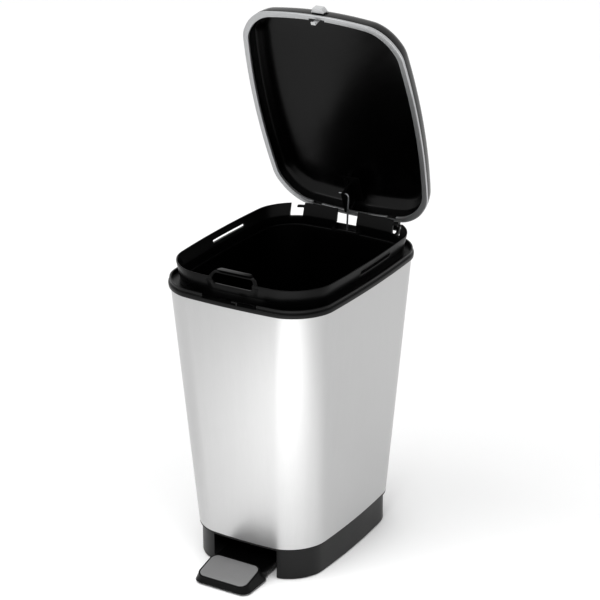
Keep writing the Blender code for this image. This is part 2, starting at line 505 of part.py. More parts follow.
def push_rod():
    foot = Vector((ROD_X, ROD_FOOT_Y, ROD_FOOT_Z))
    corner = Vector((ROD_X, rod_line(ROD_FOOT_Z), ROD_FOOT_Z))
    top = Vector((ROD_X, ROD_TOP_Y, ROD_TOP_Z))
    end = Vector((ROD_END_X, ROD_TOP_Y, ROD_TOP_Z))
    path = [foot] + bend(foot, corner, top) + bend(corner, top, end) + [end]
    data = bpy.data.curves.new("push_rod", "CURVE")
    data.dimensions, data.bevel_depth, data.bevel_resolution, data.use_fill_caps = "3D", ROD_R, 2, True
    line = data.splines.new("POLY")
    line.points.add(len(path) - 1)
    for point, at in zip(line.points, path):
        point.co = (*at, 1)
    rod = bpy.data.objects.new("push_rod", data)
    PARTS.objects.link(rod)
    return paint(rod, STEEL)


def bend(before, corner, after, steps=4):
    """A round turn of the wire at a corner."""
    a = corner + (before - corner).normalized() * ROD_BEND
    b = corner + (after - corner).normalized() * ROD_BEND
    parts = [i / steps for i in range(steps + 1)]
    return [a * (1 - t) ** 2 + corner * 2 * t * (1 - t) + b * t ** 2 for t in parts]


def rod_guides():
    for name, z in (("rod_guide_lower", GUIDE_LOW_Z), ("rod_guide_upper", GUIDE_HIGH_Z)):
        y0 = max(p[1] for p in tub_loop(z + GUIDE_H)) + GAP
        y1 = rod_line(z) + GUIDE_BACK
        guide = paint(box(name, (ROD_X - GUIDE_HALF_W, ROD_X + GUIDE_HALF_W), (y0, y1),
                          (z, z + GUIDE_H), PARTS), BLACK)
        low, high = z - PAST, z + GUIDE_H + PAST
        cut(guide, cylinder(f"{name}_bore", ROD_R + RUN_GAP, (ROD_X, rod_line(low), low),
                            (ROD_X, rod_line(high), high), TOOLS))


def cam_path():
    """Where the rod's bent end passes, seen from the lid, from closed to open."""
    lean = Vector((ROD_LEAN, 1)).normalized()
    path = []
    for i in range(BRACKET_STEPS + 1):
        part = i / BRACKET_STEPS
        y, z = Vector((ROD_TOP_Y - HINGE_Y, ROD_TOP_Z - HINGE_Z)) - lean * ROD_TRAVEL * (1 - part)
        c, s = math.cos(LID_OPEN * part), math.sin(LID_OPEN * part)
        path.append((HINGE_Y + y * c - z * s, HINGE_Z + y * s + z * c))
    return path


def band(path, half):
    """The outline of a slot of this half width along a path in (y, z)."""
    side_a, side_b = [], []
    for i, at in enumerate(path):
        before, after = Vector(path[max(i - 1, 0)]), Vector(path[min(i + 1, len(path) - 1)])
        run = (after - before).normalized()
        side_a.append((at[0] - run.y * half, at[1] + run.x * half))
        side_b.append((at[0] + run.y * half, at[1] - run.x * half))
    first, last = Vector(path[0]) - Vector(path[1]), Vector(path[-1]) - Vector(path[-2])
    start = math.degrees(math.atan2(last.y, last.x))
    end = math.degrees(math.atan2(first.y, first.x))
    cap_end = arc(*path[-1], half, start + 90, start - 90, 6)
    cap_start = arc(*path[0], half, end + 90, end - 90, 6)
    return side_a[:-1] + cap_end + side_b[-2:0:-1] + cap_start


def rod_bracket():
    path = cam_path()
    low = min(z for _, z in path) - ROD_R - RUN_GAP - BRACKET_EDGE
    y0 = min(y for y, _ in path) - ROD_R - RUN_GAP - BRACKET_EDGE
    y1 = max(y for y, _ in path) + ROD_R + RUN_GAP + BRACKET_EDGE
    plate_z = BRACKET_PLATE_Z + BRACKET_PLATE_T
    bracket = paint(box("rod_bracket", (BRACKET_PLATE_X0, BRACKET_PLATE_X1),
                        (BRACKET_PLATE_Y0, BRACKET_PLATE_Y1), (BRACKET_PLATE_Z, plate_z), PARTS), BLACK)
    web_top = BRACKET_PLATE_Z + GAP
    join(bracket, prism("bracket_web", [(y0, low), (y1, low), (y1, web_top), (y0, web_top)],
                        BRACKET_X0, BRACKET_X1, TOOLS))
    cut(bracket, prism("cam_slot", band(path, ROD_R + RUN_GAP), BRACKET_X0 - PAST, BRACKET_X1 + PAST, TOOLS))
    for i, y in enumerate(BRACKET_SCREW_Y):
        cut(bracket, cylinder(f"bracket_hole_{i}", SCREW_SHANK_R + GAP,
                              (BRACKET_SCREW_X, y, BRACKET_PLATE_Z - PAST),
                              (BRACKET_SCREW_X, y, plate_z + PAST), TOOLS))
    return bracket


def screw(name, x, y, z, long, up=1):
    """A round-headed screw whose head face rests at z."""
    made = cylinder(name, SCREW_HEAD_R, (x, y, z - up * SCREW_HEAD_T), (x, y, z), PARTS)
    join(made, cylinder(f"{name}_shank", SCREW_SHANK_R, (x, y, z - up * SCREW_HEAD_T / 2),
                        (x, y, z + up * long), TOOLS))
    return paint(smooth(made), STEEL)


def lever_shape(drop=0.0, under_drop=0.0):
    return [(y, z - drop) for y, z in LEVER_TOP] + [(y, z - under_drop) for y, z in reversed(LEVER_UNDER)]


def pedal_lever():
    hub = LEVER_HALF_W
    inner = hub - LEVER_WALL
    lever = paint(prism("pedal_lever", lever_shape(), -hub, hub, PARTS), STEEL)
    cut(lever, prism("lever_hollow", lever_shape(LEVER_WALL, FAR), -inner, inner, TOOLS))
    join(lever, cylinder("lever_hub", AXLE_R + RUN_GAP + LEVER_WALL, (-hub + GAP, AXLE_Y, AXLE_Z),
                         (hub - GAP, AXLE_Y, AXLE_Z), TOOLS))
    cut(lever, cylinder("lever_bore", AXLE_R + RUN_GAP, (-hub - PAST, AXLE_Y, AXLE_Z),
                        (hub + PAST, AXLE_Y, AXLE_Z), TOOLS))
    for i, y in enumerate(PEDAL_SCREW_Y):
        cut(lever, cylinder(f"lever_hole_{i}", SCREW_SHANK_R + GAP, (0, y, 0),
                            (0, y, LEVER_TOP[-1][1]), TOOLS))
    return lever


def lever_axle():
    return paint(smooth(cylinder("lever_axle", AXLE_R, (-AXLE_HALF, AXLE_Y, AXLE_Z),
                                 (AXLE_HALF, AXLE_Y, AXLE_Z), PARTS)), STEEL)


def axle_bearings():
    low = BASE_FLOOR + BEARING_BOSS_Z + GAP
    for name, side in (("axle_bearing_left", -1), ("axle_bearing_right", 1)):
        x = sorted((side * BEARING_X0, side * BEARING_X1))
        y = (AXLE_Y - BEARING_HALF_Y, AXLE_Y + BEARING_HALF_Y)
        bearing = paint(box(name, x, y, (BASE_FLOOR + GAP, BEARING_TOP_Z), PARTS), BLACK)
        foot = sorted((side * (BEARING_X1 - GAP), side * BEARING_FOOT_X1))
        join(bearing, box(f"{name}_foot", foot, (y[0] + GAP, y[1] - GAP),
                          (low, low + BEARING_FOOT_T), TOOLS))
        at = side * BEARING_SCREW_X
        cut(bearing, cylinder(f"{name}_bore", AXLE_R + RUN_GAP, (x[0] - PAST, AXLE_Y, AXLE_Z),
                              (x[1] + PAST, AXLE_Y, AXLE_Z), TOOLS),
            cylinder(f"{name}_hole", SCREW_SHANK_R + GAP, (at, AXLE_Y, low - PAST),
                     (at, AXLE_Y, low + BEARING_FOOT_T + PAST), TOOLS))


def pedal_top(y):
    return PEDAL_FRONT_Z + (y - PEDAL_Y0) * math.tan(PEDAL_SLOPE)


def pedal_outline(half_w, y0, y1, r):
    return outline(half_w, (y1 - y0) / 2, r, r, 0.0, (y0 + y1) / 2)


def tilted(flat, lift):
    """A flat outline laid on the pedal's sloping top, lifted along its normal."""
    normal = Vector((0, -math.sin(PEDAL_SLOPE), math.cos(PEDAL_SLOPE)))
    return [Vector((x, y, pedal_top(y))) + normal * lift for x, y in flat]


def pad_outline(border):
    return pedal_outline(PEDAL_HALF_W - border, PEDAL_Y0 + border, PEDAL_Y1 - border, PEDAL_R - border)


def pedal_body():
    top = tilted(pedal_outline(PEDAL_HALF_W, PEDAL_Y0, PEDAL_Y1, PEDAL_R), 0)
    flat = pedal_outline(PEDAL_SKIRT_HALF_W, PEDAL_SKIRT_Y0, PEDAL_SKIRT_Y1, PEDAL_R)
    skirt = [(x, y, PEDAL_SKIRT_Z) for x, y in flat]
    body = paint(smooth(loft("pedal_body", [skirt, top], PARTS)), BLACK)
    inside = pad_outline(PAD_BORDER)
    cut(body, loft("pad_pocket", [tilted(inside, -PAD_DEPTH), tilted(inside, PAD_DEPTH)], TOOLS),
        loft("pedal_hollow", [[(x, y, 0.0) for x, y in inside],
                              tilted(inside, -PAD_DEPTH - 2 * PAD_BORDER)], TOOLS))
    lever_front = LEVER_TOP[0][0] - GAP
    shape = [(NECK_Y0, NECK_UNDER_Z), (NECK_Y0, NECK_TOP_FRONT_Z), (NECK_Y1, NECK_TOP_REAR_Z),
             (NECK_Y1, lever_top(NECK_Y1) + GAP), (lever_front, lever_top(lever_front) + GAP),
             (lever_front, PEDAL_SKIRT_Z), (NECK_UNDER_Y, PEDAL_SKIRT_Z)]
    join(body, prism("neck", shape, -NECK_HALF_W, NECK_HALF_W, TOOLS))
    for i, y in enumerate(PEDAL_SCREW_Y):
        low = lever_top(y)
        cut(body, cylinder(f"neck_hole_{i}", SCREW_SHANK_R + GAP, (0, y, low - LEVER_WALL),
                           (0, y, low - LEVER_WALL + PEDAL_SCREW_LONG + GAP), TOOLS))
    return body


def lever_top(y):
    for (ya, za), (yb, zb) in zip(LEVER_TOP, LEVER_TOP[1:]):
        if y <= yb:
            return za + (zb - za) * (y - ya) / (yb - ya)
    return LEVER_TOP[-1][1]


def pedal_pad():
    flat = pad_outline(PAD_BORDER + GAP)
    return paint(smooth(loft("pedal_pad", [tilted(flat, GAP - PAD_DEPTH),
                                           tilted(flat, PAD_RAISE)], PARTS)), GREY)


def feet():
    for name, (x, y) in zip(("foot_front_left", "foot_rear_left", "foot_front_right", "foot_rear_right"),
                            foot_places()):
        paint(smooth(cylinder(name, FOOT_R, (x, y, 0), (x, y, FOOT_TOP_Z), PARTS)), RUBBER)


def screws(lid, lid_place, pedal, pedal_place):
    for i, (x, y) in enumerate(post_places()):
        screw(f"base_screw_{i + 1}", x, y, BOSS_BORE_Z - GAP, BASE_SCREW_LONG)
    seat = BASE_FLOOR + BEARING_BOSS_Z + BEARING_FOOT_T + 2 * GAP
    for name, side in (("bearing_screw_left", -1), ("bearing_screw_right", 1)):
        screw(name, side * BEARING_SCREW_X, AXLE_Y, seat, BEARING_SCREW_LONG, up=-1)
    for i, y in enumerate(BRACKET_SCREW_Y):
        made = screw(f"bracket_screw_{i + 1}", BRACKET_SCREW_X, y, BRACKET_PLATE_Z - GAP, BRACKET_SCREW_LONG)
        ride(made, lid, lid_place)
    for i, y in enumerate(PEDAL_SCREW_Y):
        under = lever_top(y) - LEVER_WALL - PEDAL_SCREW_DROP
        ride(screw(f"pedal_screw_{i + 1}", 0, y, under, PEDAL_SCREW_LONG), pedal, pedal_place)


clear_scene()
PARTS = collection("pedal_bin")
TOOLS = collection("cutters", hidden=True)

outer_sleeve()
base_plinth()
inner_tub()
top_rim()
bag_ring()
hinge_pins()
push_rod()
rod_guides()
axle_bearings()
lever_axle()
feet()

hinge_place = (0, HINGE_Y, HINGE_Z)
lid_pivot = pivot("lid_pivot", hinge_place, -LID_OPEN, PARTS)
for piece in (lid_shell(), lid_trim_ring(), lid_latch(), rod_bracket()):
    ride(piece, lid_pivot, hinge_place)

axle_place = (0, AXLE_Y, AXLE_Z)
pedal_pivot = pivot("pedal_pivot", axle_place, 0.0, PARTS)
for piece in (pedal_lever(), pedal_body(), pedal_pad()):
    ride(piece, pedal_pivot, axle_place)

screws(lid_pivot, hinge_place, pedal_pivot, axle_place)
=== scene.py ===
import math

import bmesh
import bpy
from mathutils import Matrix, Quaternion, Vector


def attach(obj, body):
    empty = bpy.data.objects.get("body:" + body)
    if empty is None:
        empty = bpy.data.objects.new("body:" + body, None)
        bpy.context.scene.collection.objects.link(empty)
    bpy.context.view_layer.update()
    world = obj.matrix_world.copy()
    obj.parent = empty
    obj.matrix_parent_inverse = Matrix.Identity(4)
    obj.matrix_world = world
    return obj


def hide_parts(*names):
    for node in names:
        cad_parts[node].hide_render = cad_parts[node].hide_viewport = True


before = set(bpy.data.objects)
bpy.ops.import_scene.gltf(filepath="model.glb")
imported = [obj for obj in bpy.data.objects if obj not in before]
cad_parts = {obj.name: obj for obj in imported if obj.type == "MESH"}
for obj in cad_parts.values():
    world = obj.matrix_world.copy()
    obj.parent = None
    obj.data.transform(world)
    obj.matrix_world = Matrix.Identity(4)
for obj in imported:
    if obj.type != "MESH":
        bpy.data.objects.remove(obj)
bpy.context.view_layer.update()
print("frame loaded")

# how finely the rounded outlines are made
smoothness = {"cornerSteps": 20, "sideCuts": 19, "edgeSteps": 3, "roundSides": 48}
# between pieces that rest on each other, past a face that a cut opens, and between loops at one height
gap, past, levelGap = 0.0003, 0.001, 0.00001
# beyond the object on any side
far = 0.3


# working in edit mode

def deselectAll():
    if bpy.context.object and bpy.context.object.mode != "OBJECT":
        bpy.ops.object.mode_set(mode="OBJECT")
    bpy.ops.object.select_all(action="DESELECT")


def pick(kind, test):
    mesh = bpy.context.object.data
    bm = bmesh.from_edit_mesh(mesh)
    bpy.ops.mesh.select_all(action="DESELECT")
    for item in getattr(bm, kind):
        if not item.hide and test(item):
            item.select_set(True)
    bm.select_flush(True)
    bmesh.update_edit_mesh(mesh)


def nearest(x, y):
    bm = bmesh.from_edit_mesh(bpy.context.object.data)
    shown = (v for v in bm.verts if not v.hide)
    return min(shown, key=lambda v: (v.co.x - x) ** 2 + (v.co.y - y) ** 2).index


def startEditing(obj):
    deselectAll()
    bpy.context.view_layer.objects.active = obj
    obj.select_set(True)
    bpy.ops.object.mode_set(mode="EDIT")
    bpy.ops.mesh.select_mode(type="VERT")
    bpy.ops.mesh.select_all(action="SELECT")


def stopEditing():
    bpy.ops.object.mode_set(mode="OBJECT")


def turnPiece(obj, angle, centre):
    # about X, in the mesh itself; the operator turns the other way with no window
    startEditing(obj)
    bpy.ops.transform.rotate(value=angle, orient_axis="X", orient_type="GLOBAL", center_override=centre)
    stopEditing()


# shapes

def addOutline(number, z, halfX, halfY, front, rear, bow, shift=0.0, tilt=0.0):
    # one loop: a rectangle with rounded corners whose sides bow outwards
    bpy.ops.mesh.primitive_plane_add(size=2, location=(0, 0, z))
    bpy.ops.mesh.hide(unselected=True)
    bpy.ops.transform.resize(value=(halfX, halfY, 1), center_override=(0, 0, z))
    bpy.ops.mesh.delete(type="ONLY_FACE")
    steps = smoothness["cornerSteps"]
    pick("verts", lambda v: v.co.y > 0)
    bpy.ops.mesh.bevel(offset=rear, affect="VERTICES", segments=steps, profile=0.5, clamp_overlap=False)
    pick("verts", lambda v: v.co.y < 1e-6 - halfY)
    bpy.ops.mesh.bevel(offset=front, affect="VERTICES", segments=steps, profile=0.5, clamp_overlap=False)
    longest = 1.5 * max(front, rear) * math.pi / 2 / steps
    pick("edges", lambda e: e.calc_length() > longest)
    bpy.ops.mesh.subdivide(number_cuts=smoothness["sideCuts"])
    sides = ((halfX, 0, halfY), (-halfX, 0, halfY), (0, halfY, halfX), (0, -halfY, halfX))
    for x, y, reach in sides if bow else ():
        middle = nearest(x, y)
        pick("verts", lambda v: v.index == middle)
        push = Vector((x, y, 0)).normalized() * bow
        bpy.ops.transform.translate(value=push, use_proportional_edit=True, proportional_size=reach,
                                    proportional_edit_falloff="INVERSE_SQUARE")
    bpy.ops.mesh.select_all(action="SELECT")
    if tilt:
        bpy.ops.transform.resize(value=(1, 1 / math.cos(tilt), 1), center_override=(0, 0, z))
        bpy.ops.transform.rotate(value=tilt * turnSign, orient_axis="X", orient_type="GLOBAL",
                                 center_override=(0, 0, z))
    if shift:
        bpy.ops.transform.translate(value=(0, shift, 0))
    mesh = bpy.context.object.data
    bm = bmesh.from_edit_mesh(mesh)
    loop = bm.verts.layers.int["loop"]
    for v in bm.verts:
        if not v.hide:
            v[loop] = number
    bmesh.update_edit_mesh(mesh)
    bpy.ops.mesh.reveal(select=False)


def pickLoops(*numbers):
    loop = bmesh.from_edit_mesh(bpy.context.object.data).verts.layers.int["loop"]
    pick("verts", lambda v: v[loop] in numbers)


def addShell(name, outlines, closed):
    # outlines bridged one to the next; a closed one goes round to its first, an open one gets two flat ends
    deselectAll()
    bpy.ops.mesh.primitive_plane_add(size=2)
    obj = bpy.context.object
    obj.name = obj.data.name = name
    obj.data.attributes.new("loop", "INT", "POINT")
    startEditing(obj)
    bpy.ops.mesh.delete(type="VERT")
    for i, outline in enumerate(outlines):
        # two loops at one height would be bridged crosswise, so none is left level with the one before
        if abs(outline["z"] - outlines[i - 1]["z"]) < levelGap:
            outline["z"] += 2 * levelGap
    for number, outline in enumerate(outlines, 1):
        addOutline(number, **outline)
    last = len(outlines)
    pairs = [(i, i + 1) for i in range(1, last)] + ([(last, 1)] if closed else [])
    for pair in pairs:
        pickLoops(*pair)
        bpy.ops.mesh.bridge_edge_loops()
    if not closed:
        for end in (1, last):
            pickLoops(end)
            bpy.ops.mesh.edge_face_add()
    bpy.ops.mesh.select_all(action="SELECT")
    bpy.ops.mesh.normals_make_consistent(inside=False)
    stopEditing()
    obj.data.attributes.remove(obj.data.attributes["loop"])
    return obj


def roundLine(corners, closed):
    # a line of (inset, height, rounding) corners, with each corner eased by a small curve
    line = []
    count = len(corners)
    for i, (x, z, size) in enumerate(corners):
        at = Vector((x, z))
        if not size or (not closed and i in (0, count - 1)):
            line.append((x, z))
            continue
        before, after = Vector(corners[i - 1][:2]), Vector(corners[(i + 1) % count][:2])
        a = at + (before - at).normalized() * min(size, (before - at).length * 0.49)
        b = at + (after - at).normalized() * min(size, (after - at).length * 0.49)
        steps = smoothness["edgeSteps"]
        for t in [k / steps for k in range(steps + 1)]:
            point = a * (1 - t) ** 2 + at * 2 * t * (1 - t) + b * t ** 2
            line.append((point.x, point.y))
    return line


def easeLine(points, steps=4):
    # a smooth curve through (inset, height) points
    line = []
    for i in range(len(points) - 1):
        p = [Vector(points[max(0, min(len(points) - 1, i + k))]) for k in (-1, 0, 1, 2)]
        for t in [k / steps for k in range(steps)]:
            point = 0.5 * (2 * p[1] + (p[2] - p[0]) * t + (2 * p[0] - 5 * p[1] + 4 * p[2] - p[3]) * t * t
                           + (3 * p[1] - p[0] - 3 * p[2] + p[3]) * t ** 3)
            line.append((point.x, point.y))
    return line + [tuple(points[-1])]


def addBlock(name, x, y, z, edge=0.0, steps=3):
    deselectAll()
    centre = [(a + b) / 2 for a, b in (x, y, z)]
    bpy.ops.mesh.primitive_cube_add(size=1, location=centre)
    obj = bpy.context.object
    obj.name = obj.data.name = name
    bpy.ops.object.transform_apply(location=True)
    startEditing(obj)
    bpy.ops.transform.resize(value=[abs(b - a) for a, b in (x, y, z)], center_override=centre)
    if edge:
        bpy.ops.mesh.bevel(offset=edge, segments=steps, affect="EDGES")
    stopEditing()
    return obj


def addRound(name, radius, start, end, edge=0.0):
    deselectAll()
    start, end = Vector(start), Vector(end)
    turn = (end - start).to_track_quat("Z", "Y").to_euler()
    bpy.ops.mesh.primitive_cylinder_add(vertices=smoothness["roundSides"], radius=radius,
                                        depth=(end - start).length, location=(start + end) / 2, rotation=turn)
    obj = bpy.context.object
    obj.name = obj.data.name = name
    bpy.ops.object.transform_apply(location=True, rotation=True)
    if edge:
        startEditing(obj)
        pick("edges", lambda e: any(len(f.verts) > 4 for f in e.link_faces))
        bpy.ops.mesh.bevel(offset=edge, segments=2, affect="EDGES")
        stopEditing()
    return obj


def addPrism(name, flat, start, end, along="X", edge=0.0, steps=2):
    # a flat shape, its corners set one by one, drawn out along X, or along Y or Z
    deselectAll()
    bpy.ops.mesh.primitive_circle_add(vertices=len(flat), radius=0.01, fill_type="NGON")
    obj = bpy.context.object
    obj.name = obj.data.name = name
    startEditing(obj)
    bm = bmesh.from_edit_mesh(obj.data)
    bm.verts.ensure_lookup_table()
    for v, (a, b) in zip(bm.verts, flat):
        v.co = {"X": (start, a, b), "Y": (a, start, b), "Z": (a, b, start)}[along]
    bmesh.update_edit_mesh(obj.data)
    length = end - start
    push = {"X": (length, 0, 0), "Y": (0, length, 0), "Z": (0, 0, length)}[along]
    bpy.ops.mesh.extrude_region_move(TRANSFORM_OT_translate={"value": push})
    bpy.ops.mesh.select_all(action="SELECT")
    bpy.ops.mesh.normals_make_consistent(inside=False)
    if edge:
        pick("edges", lambda e: e.calc_face_angle(0) > math.radians(25))
        bpy.ops.mesh.bevel(offset=edge, segments=steps, affect="EDGES")
    stopEditing()
    return obj


def arcPoints(a, b, radius, start, end, steps=12):
    turns = [math.radians(start + (end - start) * i / steps) for i in range(steps + 1)]
    return [(a + radius * math.cos(t), b + radius * math.sin(t)) for t in turns]


def combine(obj, operation, *tools):
    for tool in tools:
        deselectAll()
        bpy.context.view_layer.objects.active = obj
        obj.select_set(True)
        bpy.ops.object.modifier_add(type="BOOLEAN")
        modifier = obj.modifiers[-1]
        modifier.operation, modifier.solver, modifier.object = operation, "EXACT", tool
        bpy.ops.object.modifier_apply(modifier=modifier.name)
        bpy.data.objects.remove(tool)
    return obj


def add(obj, *tools):
    return combine(obj, "UNION", *tools)


def carve(obj, *tools):
    return combine(obj, "DIFFERENCE", *tools)


def softenEdges(obj, width, angle=40, steps=2):
    deselectAll()
    bpy.context.view_layer.objects.active = obj
    obj.select_set(True)
    bpy.ops.object.modifier_add(type="BEVEL")
    modifier = obj.modifiers[-1]
    modifier.width, modifier.segments, modifier.limit_method = width, steps, "ANGLE"
    modifier.angle_limit = math.radians(angle)
    bpy.ops.object.modifier_apply(modifier=modifier.name)
    return obj


def finishPiece(obj, body, nodes, material, sharp=35):
    deselectAll()
    bpy.context.view_layer.objects.active = obj
    obj.select_set(True)
    bpy.ops.object.shade_smooth_by_angle(angle=math.radians(sharp))
    obj.data.materials.clear()
    obj.data.materials.append(material)
    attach(obj, body)
    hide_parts(*nodes)
    print("made", obj.name)
    return obj


# effects that several finishes share

def newGroup(name, inputs, outputs):
    group = bpy.data.node_groups.new(name, "ShaderNodeTree")
    for label, value in inputs.items():
        made = group.interface.new_socket(label, in_out="INPUT", socket_type="NodeSocketFloat")
        made.default_value = value
    for label, kind in outputs.items():
        group.interface.new_socket(label, in_out="OUTPUT", socket_type=kind)
    nodes = group.nodes
    return group, nodes, group.links, nodes.new("NodeGroupInput"), nodes.new("NodeGroupOutput")


def noiseIn(nodes, links, coordinate, scale, detail=3.0, roughness=0.55):
    noise = nodes.new("ShaderNodeTexNoise")
    noise.inputs["Detail"].default_value = detail
    noise.inputs["Roughness"].default_value = roughness
    links.new(coordinate, noise.inputs["Vector"])
    if isinstance(scale, (int, float)):
        noise.inputs["Scale"].default_value = scale
    else:
        links.new(scale, noise.inputs["Scale"])
    return noise.outputs["Fac"]


def mathNode(nodes, links, operation, a, b):
    node = nodes.new("ShaderNodeMath")
    node.operation = operation
    for socket, value in zip(node.inputs, (a, b)):
        if isinstance(value, (int, float)):
            socket.default_value = value
        else:
            links.new(value, socket)
    return node.outputs[0]


def makeGrainGroup():
    # moulded plastic: a fine even grain, with a slow change of tone over the surface
    group, nodes, links, given, out = newGroup(
        "mouldedGrain", {"Grain Scale": 1500.0, "Tone Scale": 9.0, "Pit Share": 0.5},
        {"Height": "NodeSocketFloat", "Tone": "NodeSocketFloat", "Speck": "NodeSocketFloat"})
    place = nodes.new("ShaderNodeTexCoord").outputs["Object"]
    fine = noiseIn(nodes, links, place, given.outputs["Grain Scale"], 2.0)
    cells = nodes.new("ShaderNodeTexVoronoi")
    links.new(place, cells.inputs["Vector"])
    links.new(given.outputs["Grain Scale"], cells.inputs["Scale"])
    pits = mathNode(nodes, links, "MULTIPLY", cells.outputs["Distance"], given.outputs["Pit Share"])
    links.new(mathNode(nodes, links, "ADD", fine, pits), out.inputs["Height"])
    links.new(noiseIn(nodes, links, place, given.outputs["Tone Scale"], 4.0), out.inputs["Tone"])
    links.new(noiseIn(nodes, links, place, 260.0, 2.0, 0.7), out.inputs["Speck"])
    return group


def makeBrushGroup():
    # a metallic skin: fine lines that run up the piece, broken along their length, and a slow change of tone
    group, nodes, links, given, out = newGroup(
        "brushedLines", {"Line Scale": 900.0, "Stretch": 0.012, "Tone Scale": 6.0},
        {"Height": "NodeSocketFloat", "Line": "NodeSocketFloat", "Tone": "NodeSocketFloat"})
    place = nodes.new("ShaderNodeTexCoord").outputs["Object"]
    squeeze = nodes.new("ShaderNodeVectorMath")
    squeeze.operation = "MULTIPLY"
    joined = nodes.new("ShaderNodeCombineXYZ")
    joined.inputs["X"].default_value = joined.inputs["Y"].default_value = 1.0
    links.new(given.outputs["Stretch"], joined.inputs["Z"])
    links.new(place, squeeze.inputs[0])
    links.new(joined.outputs[0], squeeze.inputs[1])
    lines = noiseIn(nodes, links, squeeze.outputs[0], given.outputs["Line Scale"], 3.0, 0.6)
    broad = noiseIn(nodes, links, squeeze.outputs[0],
                    mathNode(nodes, links, "MULTIPLY", given.outputs["Line Scale"], 0.16), 2.0)
    links.new(lines, out.inputs["Height"])
    mixed = mathNode(nodes, links, "ADD", mathNode(nodes, links, "MULTIPLY", lines, 0.6),
                     mathNode(nodes, links, "MULTIPLY", broad, 0.4))
    links.new(mixed, out.inputs["Line"])
    links.new(noiseIn(nodes, links, place, given.outputs["Tone Scale"], 3.0), out.inputs["Tone"])
    return group


grainGroup = makeGrainGroup()
brushGroup = makeBrushGroup()


def newMaterial(name, settings):
    material = bpy.data.materials.new(name)
    material.use_nodes = True
    material.diffuse_color = (*settings["light"], 1)
    nodes, links = material.node_tree.nodes, material.node_tree.links
    shader = nodes["Principled BSDF"]
    for socket, value in settings.get("shader", {}).items():
        shader.inputs[socket].default_value = value
    return nodes, links, shader, material


def rampColour(nodes, links, factor, dark, light):
    mix = nodes.new("ShaderNodeMix")
    mix.data_type = "RGBA"
    mix.inputs["A"].default_value = (*dark, 1)
    mix.inputs["B"].default_value = (*light, 1)
    links.new(factor, mix.inputs["Factor"])
    return mix.outputs["Result"]


def rampValue(nodes, links, factor, low, high):
    spread = nodes.new("ShaderNodeMapRange")
    spread.inputs["From Min"].default_value, spread.inputs["From Max"].default_value = 0.3, 0.7
    spread.inputs["To Min"].default_value, spread.inputs["To Max"].default_value = low, high
    links.new(factor, spread.inputs["Value"])
    return spread.outputs["Result"]


def bumpFrom(nodes, links, height, strength, distance, shader):
    bump = nodes.new("ShaderNodeBump")
    bump.inputs["Strength"].default_value = strength
    bump.inputs["Distance"].default_value = distance
    links.new(height, bump.inputs["Height"])
    links.new(bump.outputs["Normal"], shader.inputs["Normal"])


def makeFinish(name, settings, group, shares):
    # the shared effect drives colour, roughness and bump; shares weigh the two outputs that make its tone
    nodes, links, shader, material = newMaterial(name, settings)
    effect = nodes.new("ShaderNodeGroup")
    effect.node_tree = group
    for label in ("Grain Scale", "Line Scale", "Stretch", "Tone Scale", "Pit Share"):
        if label in settings:
            effect.inputs[label].default_value = settings[label]
    parts = [mathNode(nodes, links, "MULTIPLY", effect.outputs[label], share)
             for label, share in shares.items()]
    tone = mathNode(nodes, links, "ADD", *parts)
    links.new(rampColour(nodes, links, tone, settings["dark"], settings["light"]), shader.inputs["Base Color"])
    links.new(rampValue(nodes, links, tone, *settings["roughness"]), shader.inputs["Roughness"])
    bumpFrom(nodes, links, effect.outputs["Height"], settings["bump"], settings["depth"], shader)
    return material


def plasticFinish(name, settings):
    return makeFinish(name, settings, grainGroup, {"Tone": 0.75, "Speck": 0.25})


def metalFinish(name, settings):
    return makeFinish(name, settings, brushGroup, {"Line": 0.7, "Tone": 0.3})


def blackFinish(name, specular=0.35, ior=1.40, **changes):
    look = {"dark": (0.0015, 0.0015, 0.0016), "light": (0.0030, 0.0030, 0.0031), "roughness": (0.30, 0.38),
            "bump": 0.10, "depth": 0.0002, "Grain Scale": 1400.0,
            "shader": {"IOR": ior, "Specular IOR Level": specular}}
    return plasticFinish(name, {**look, **changes})


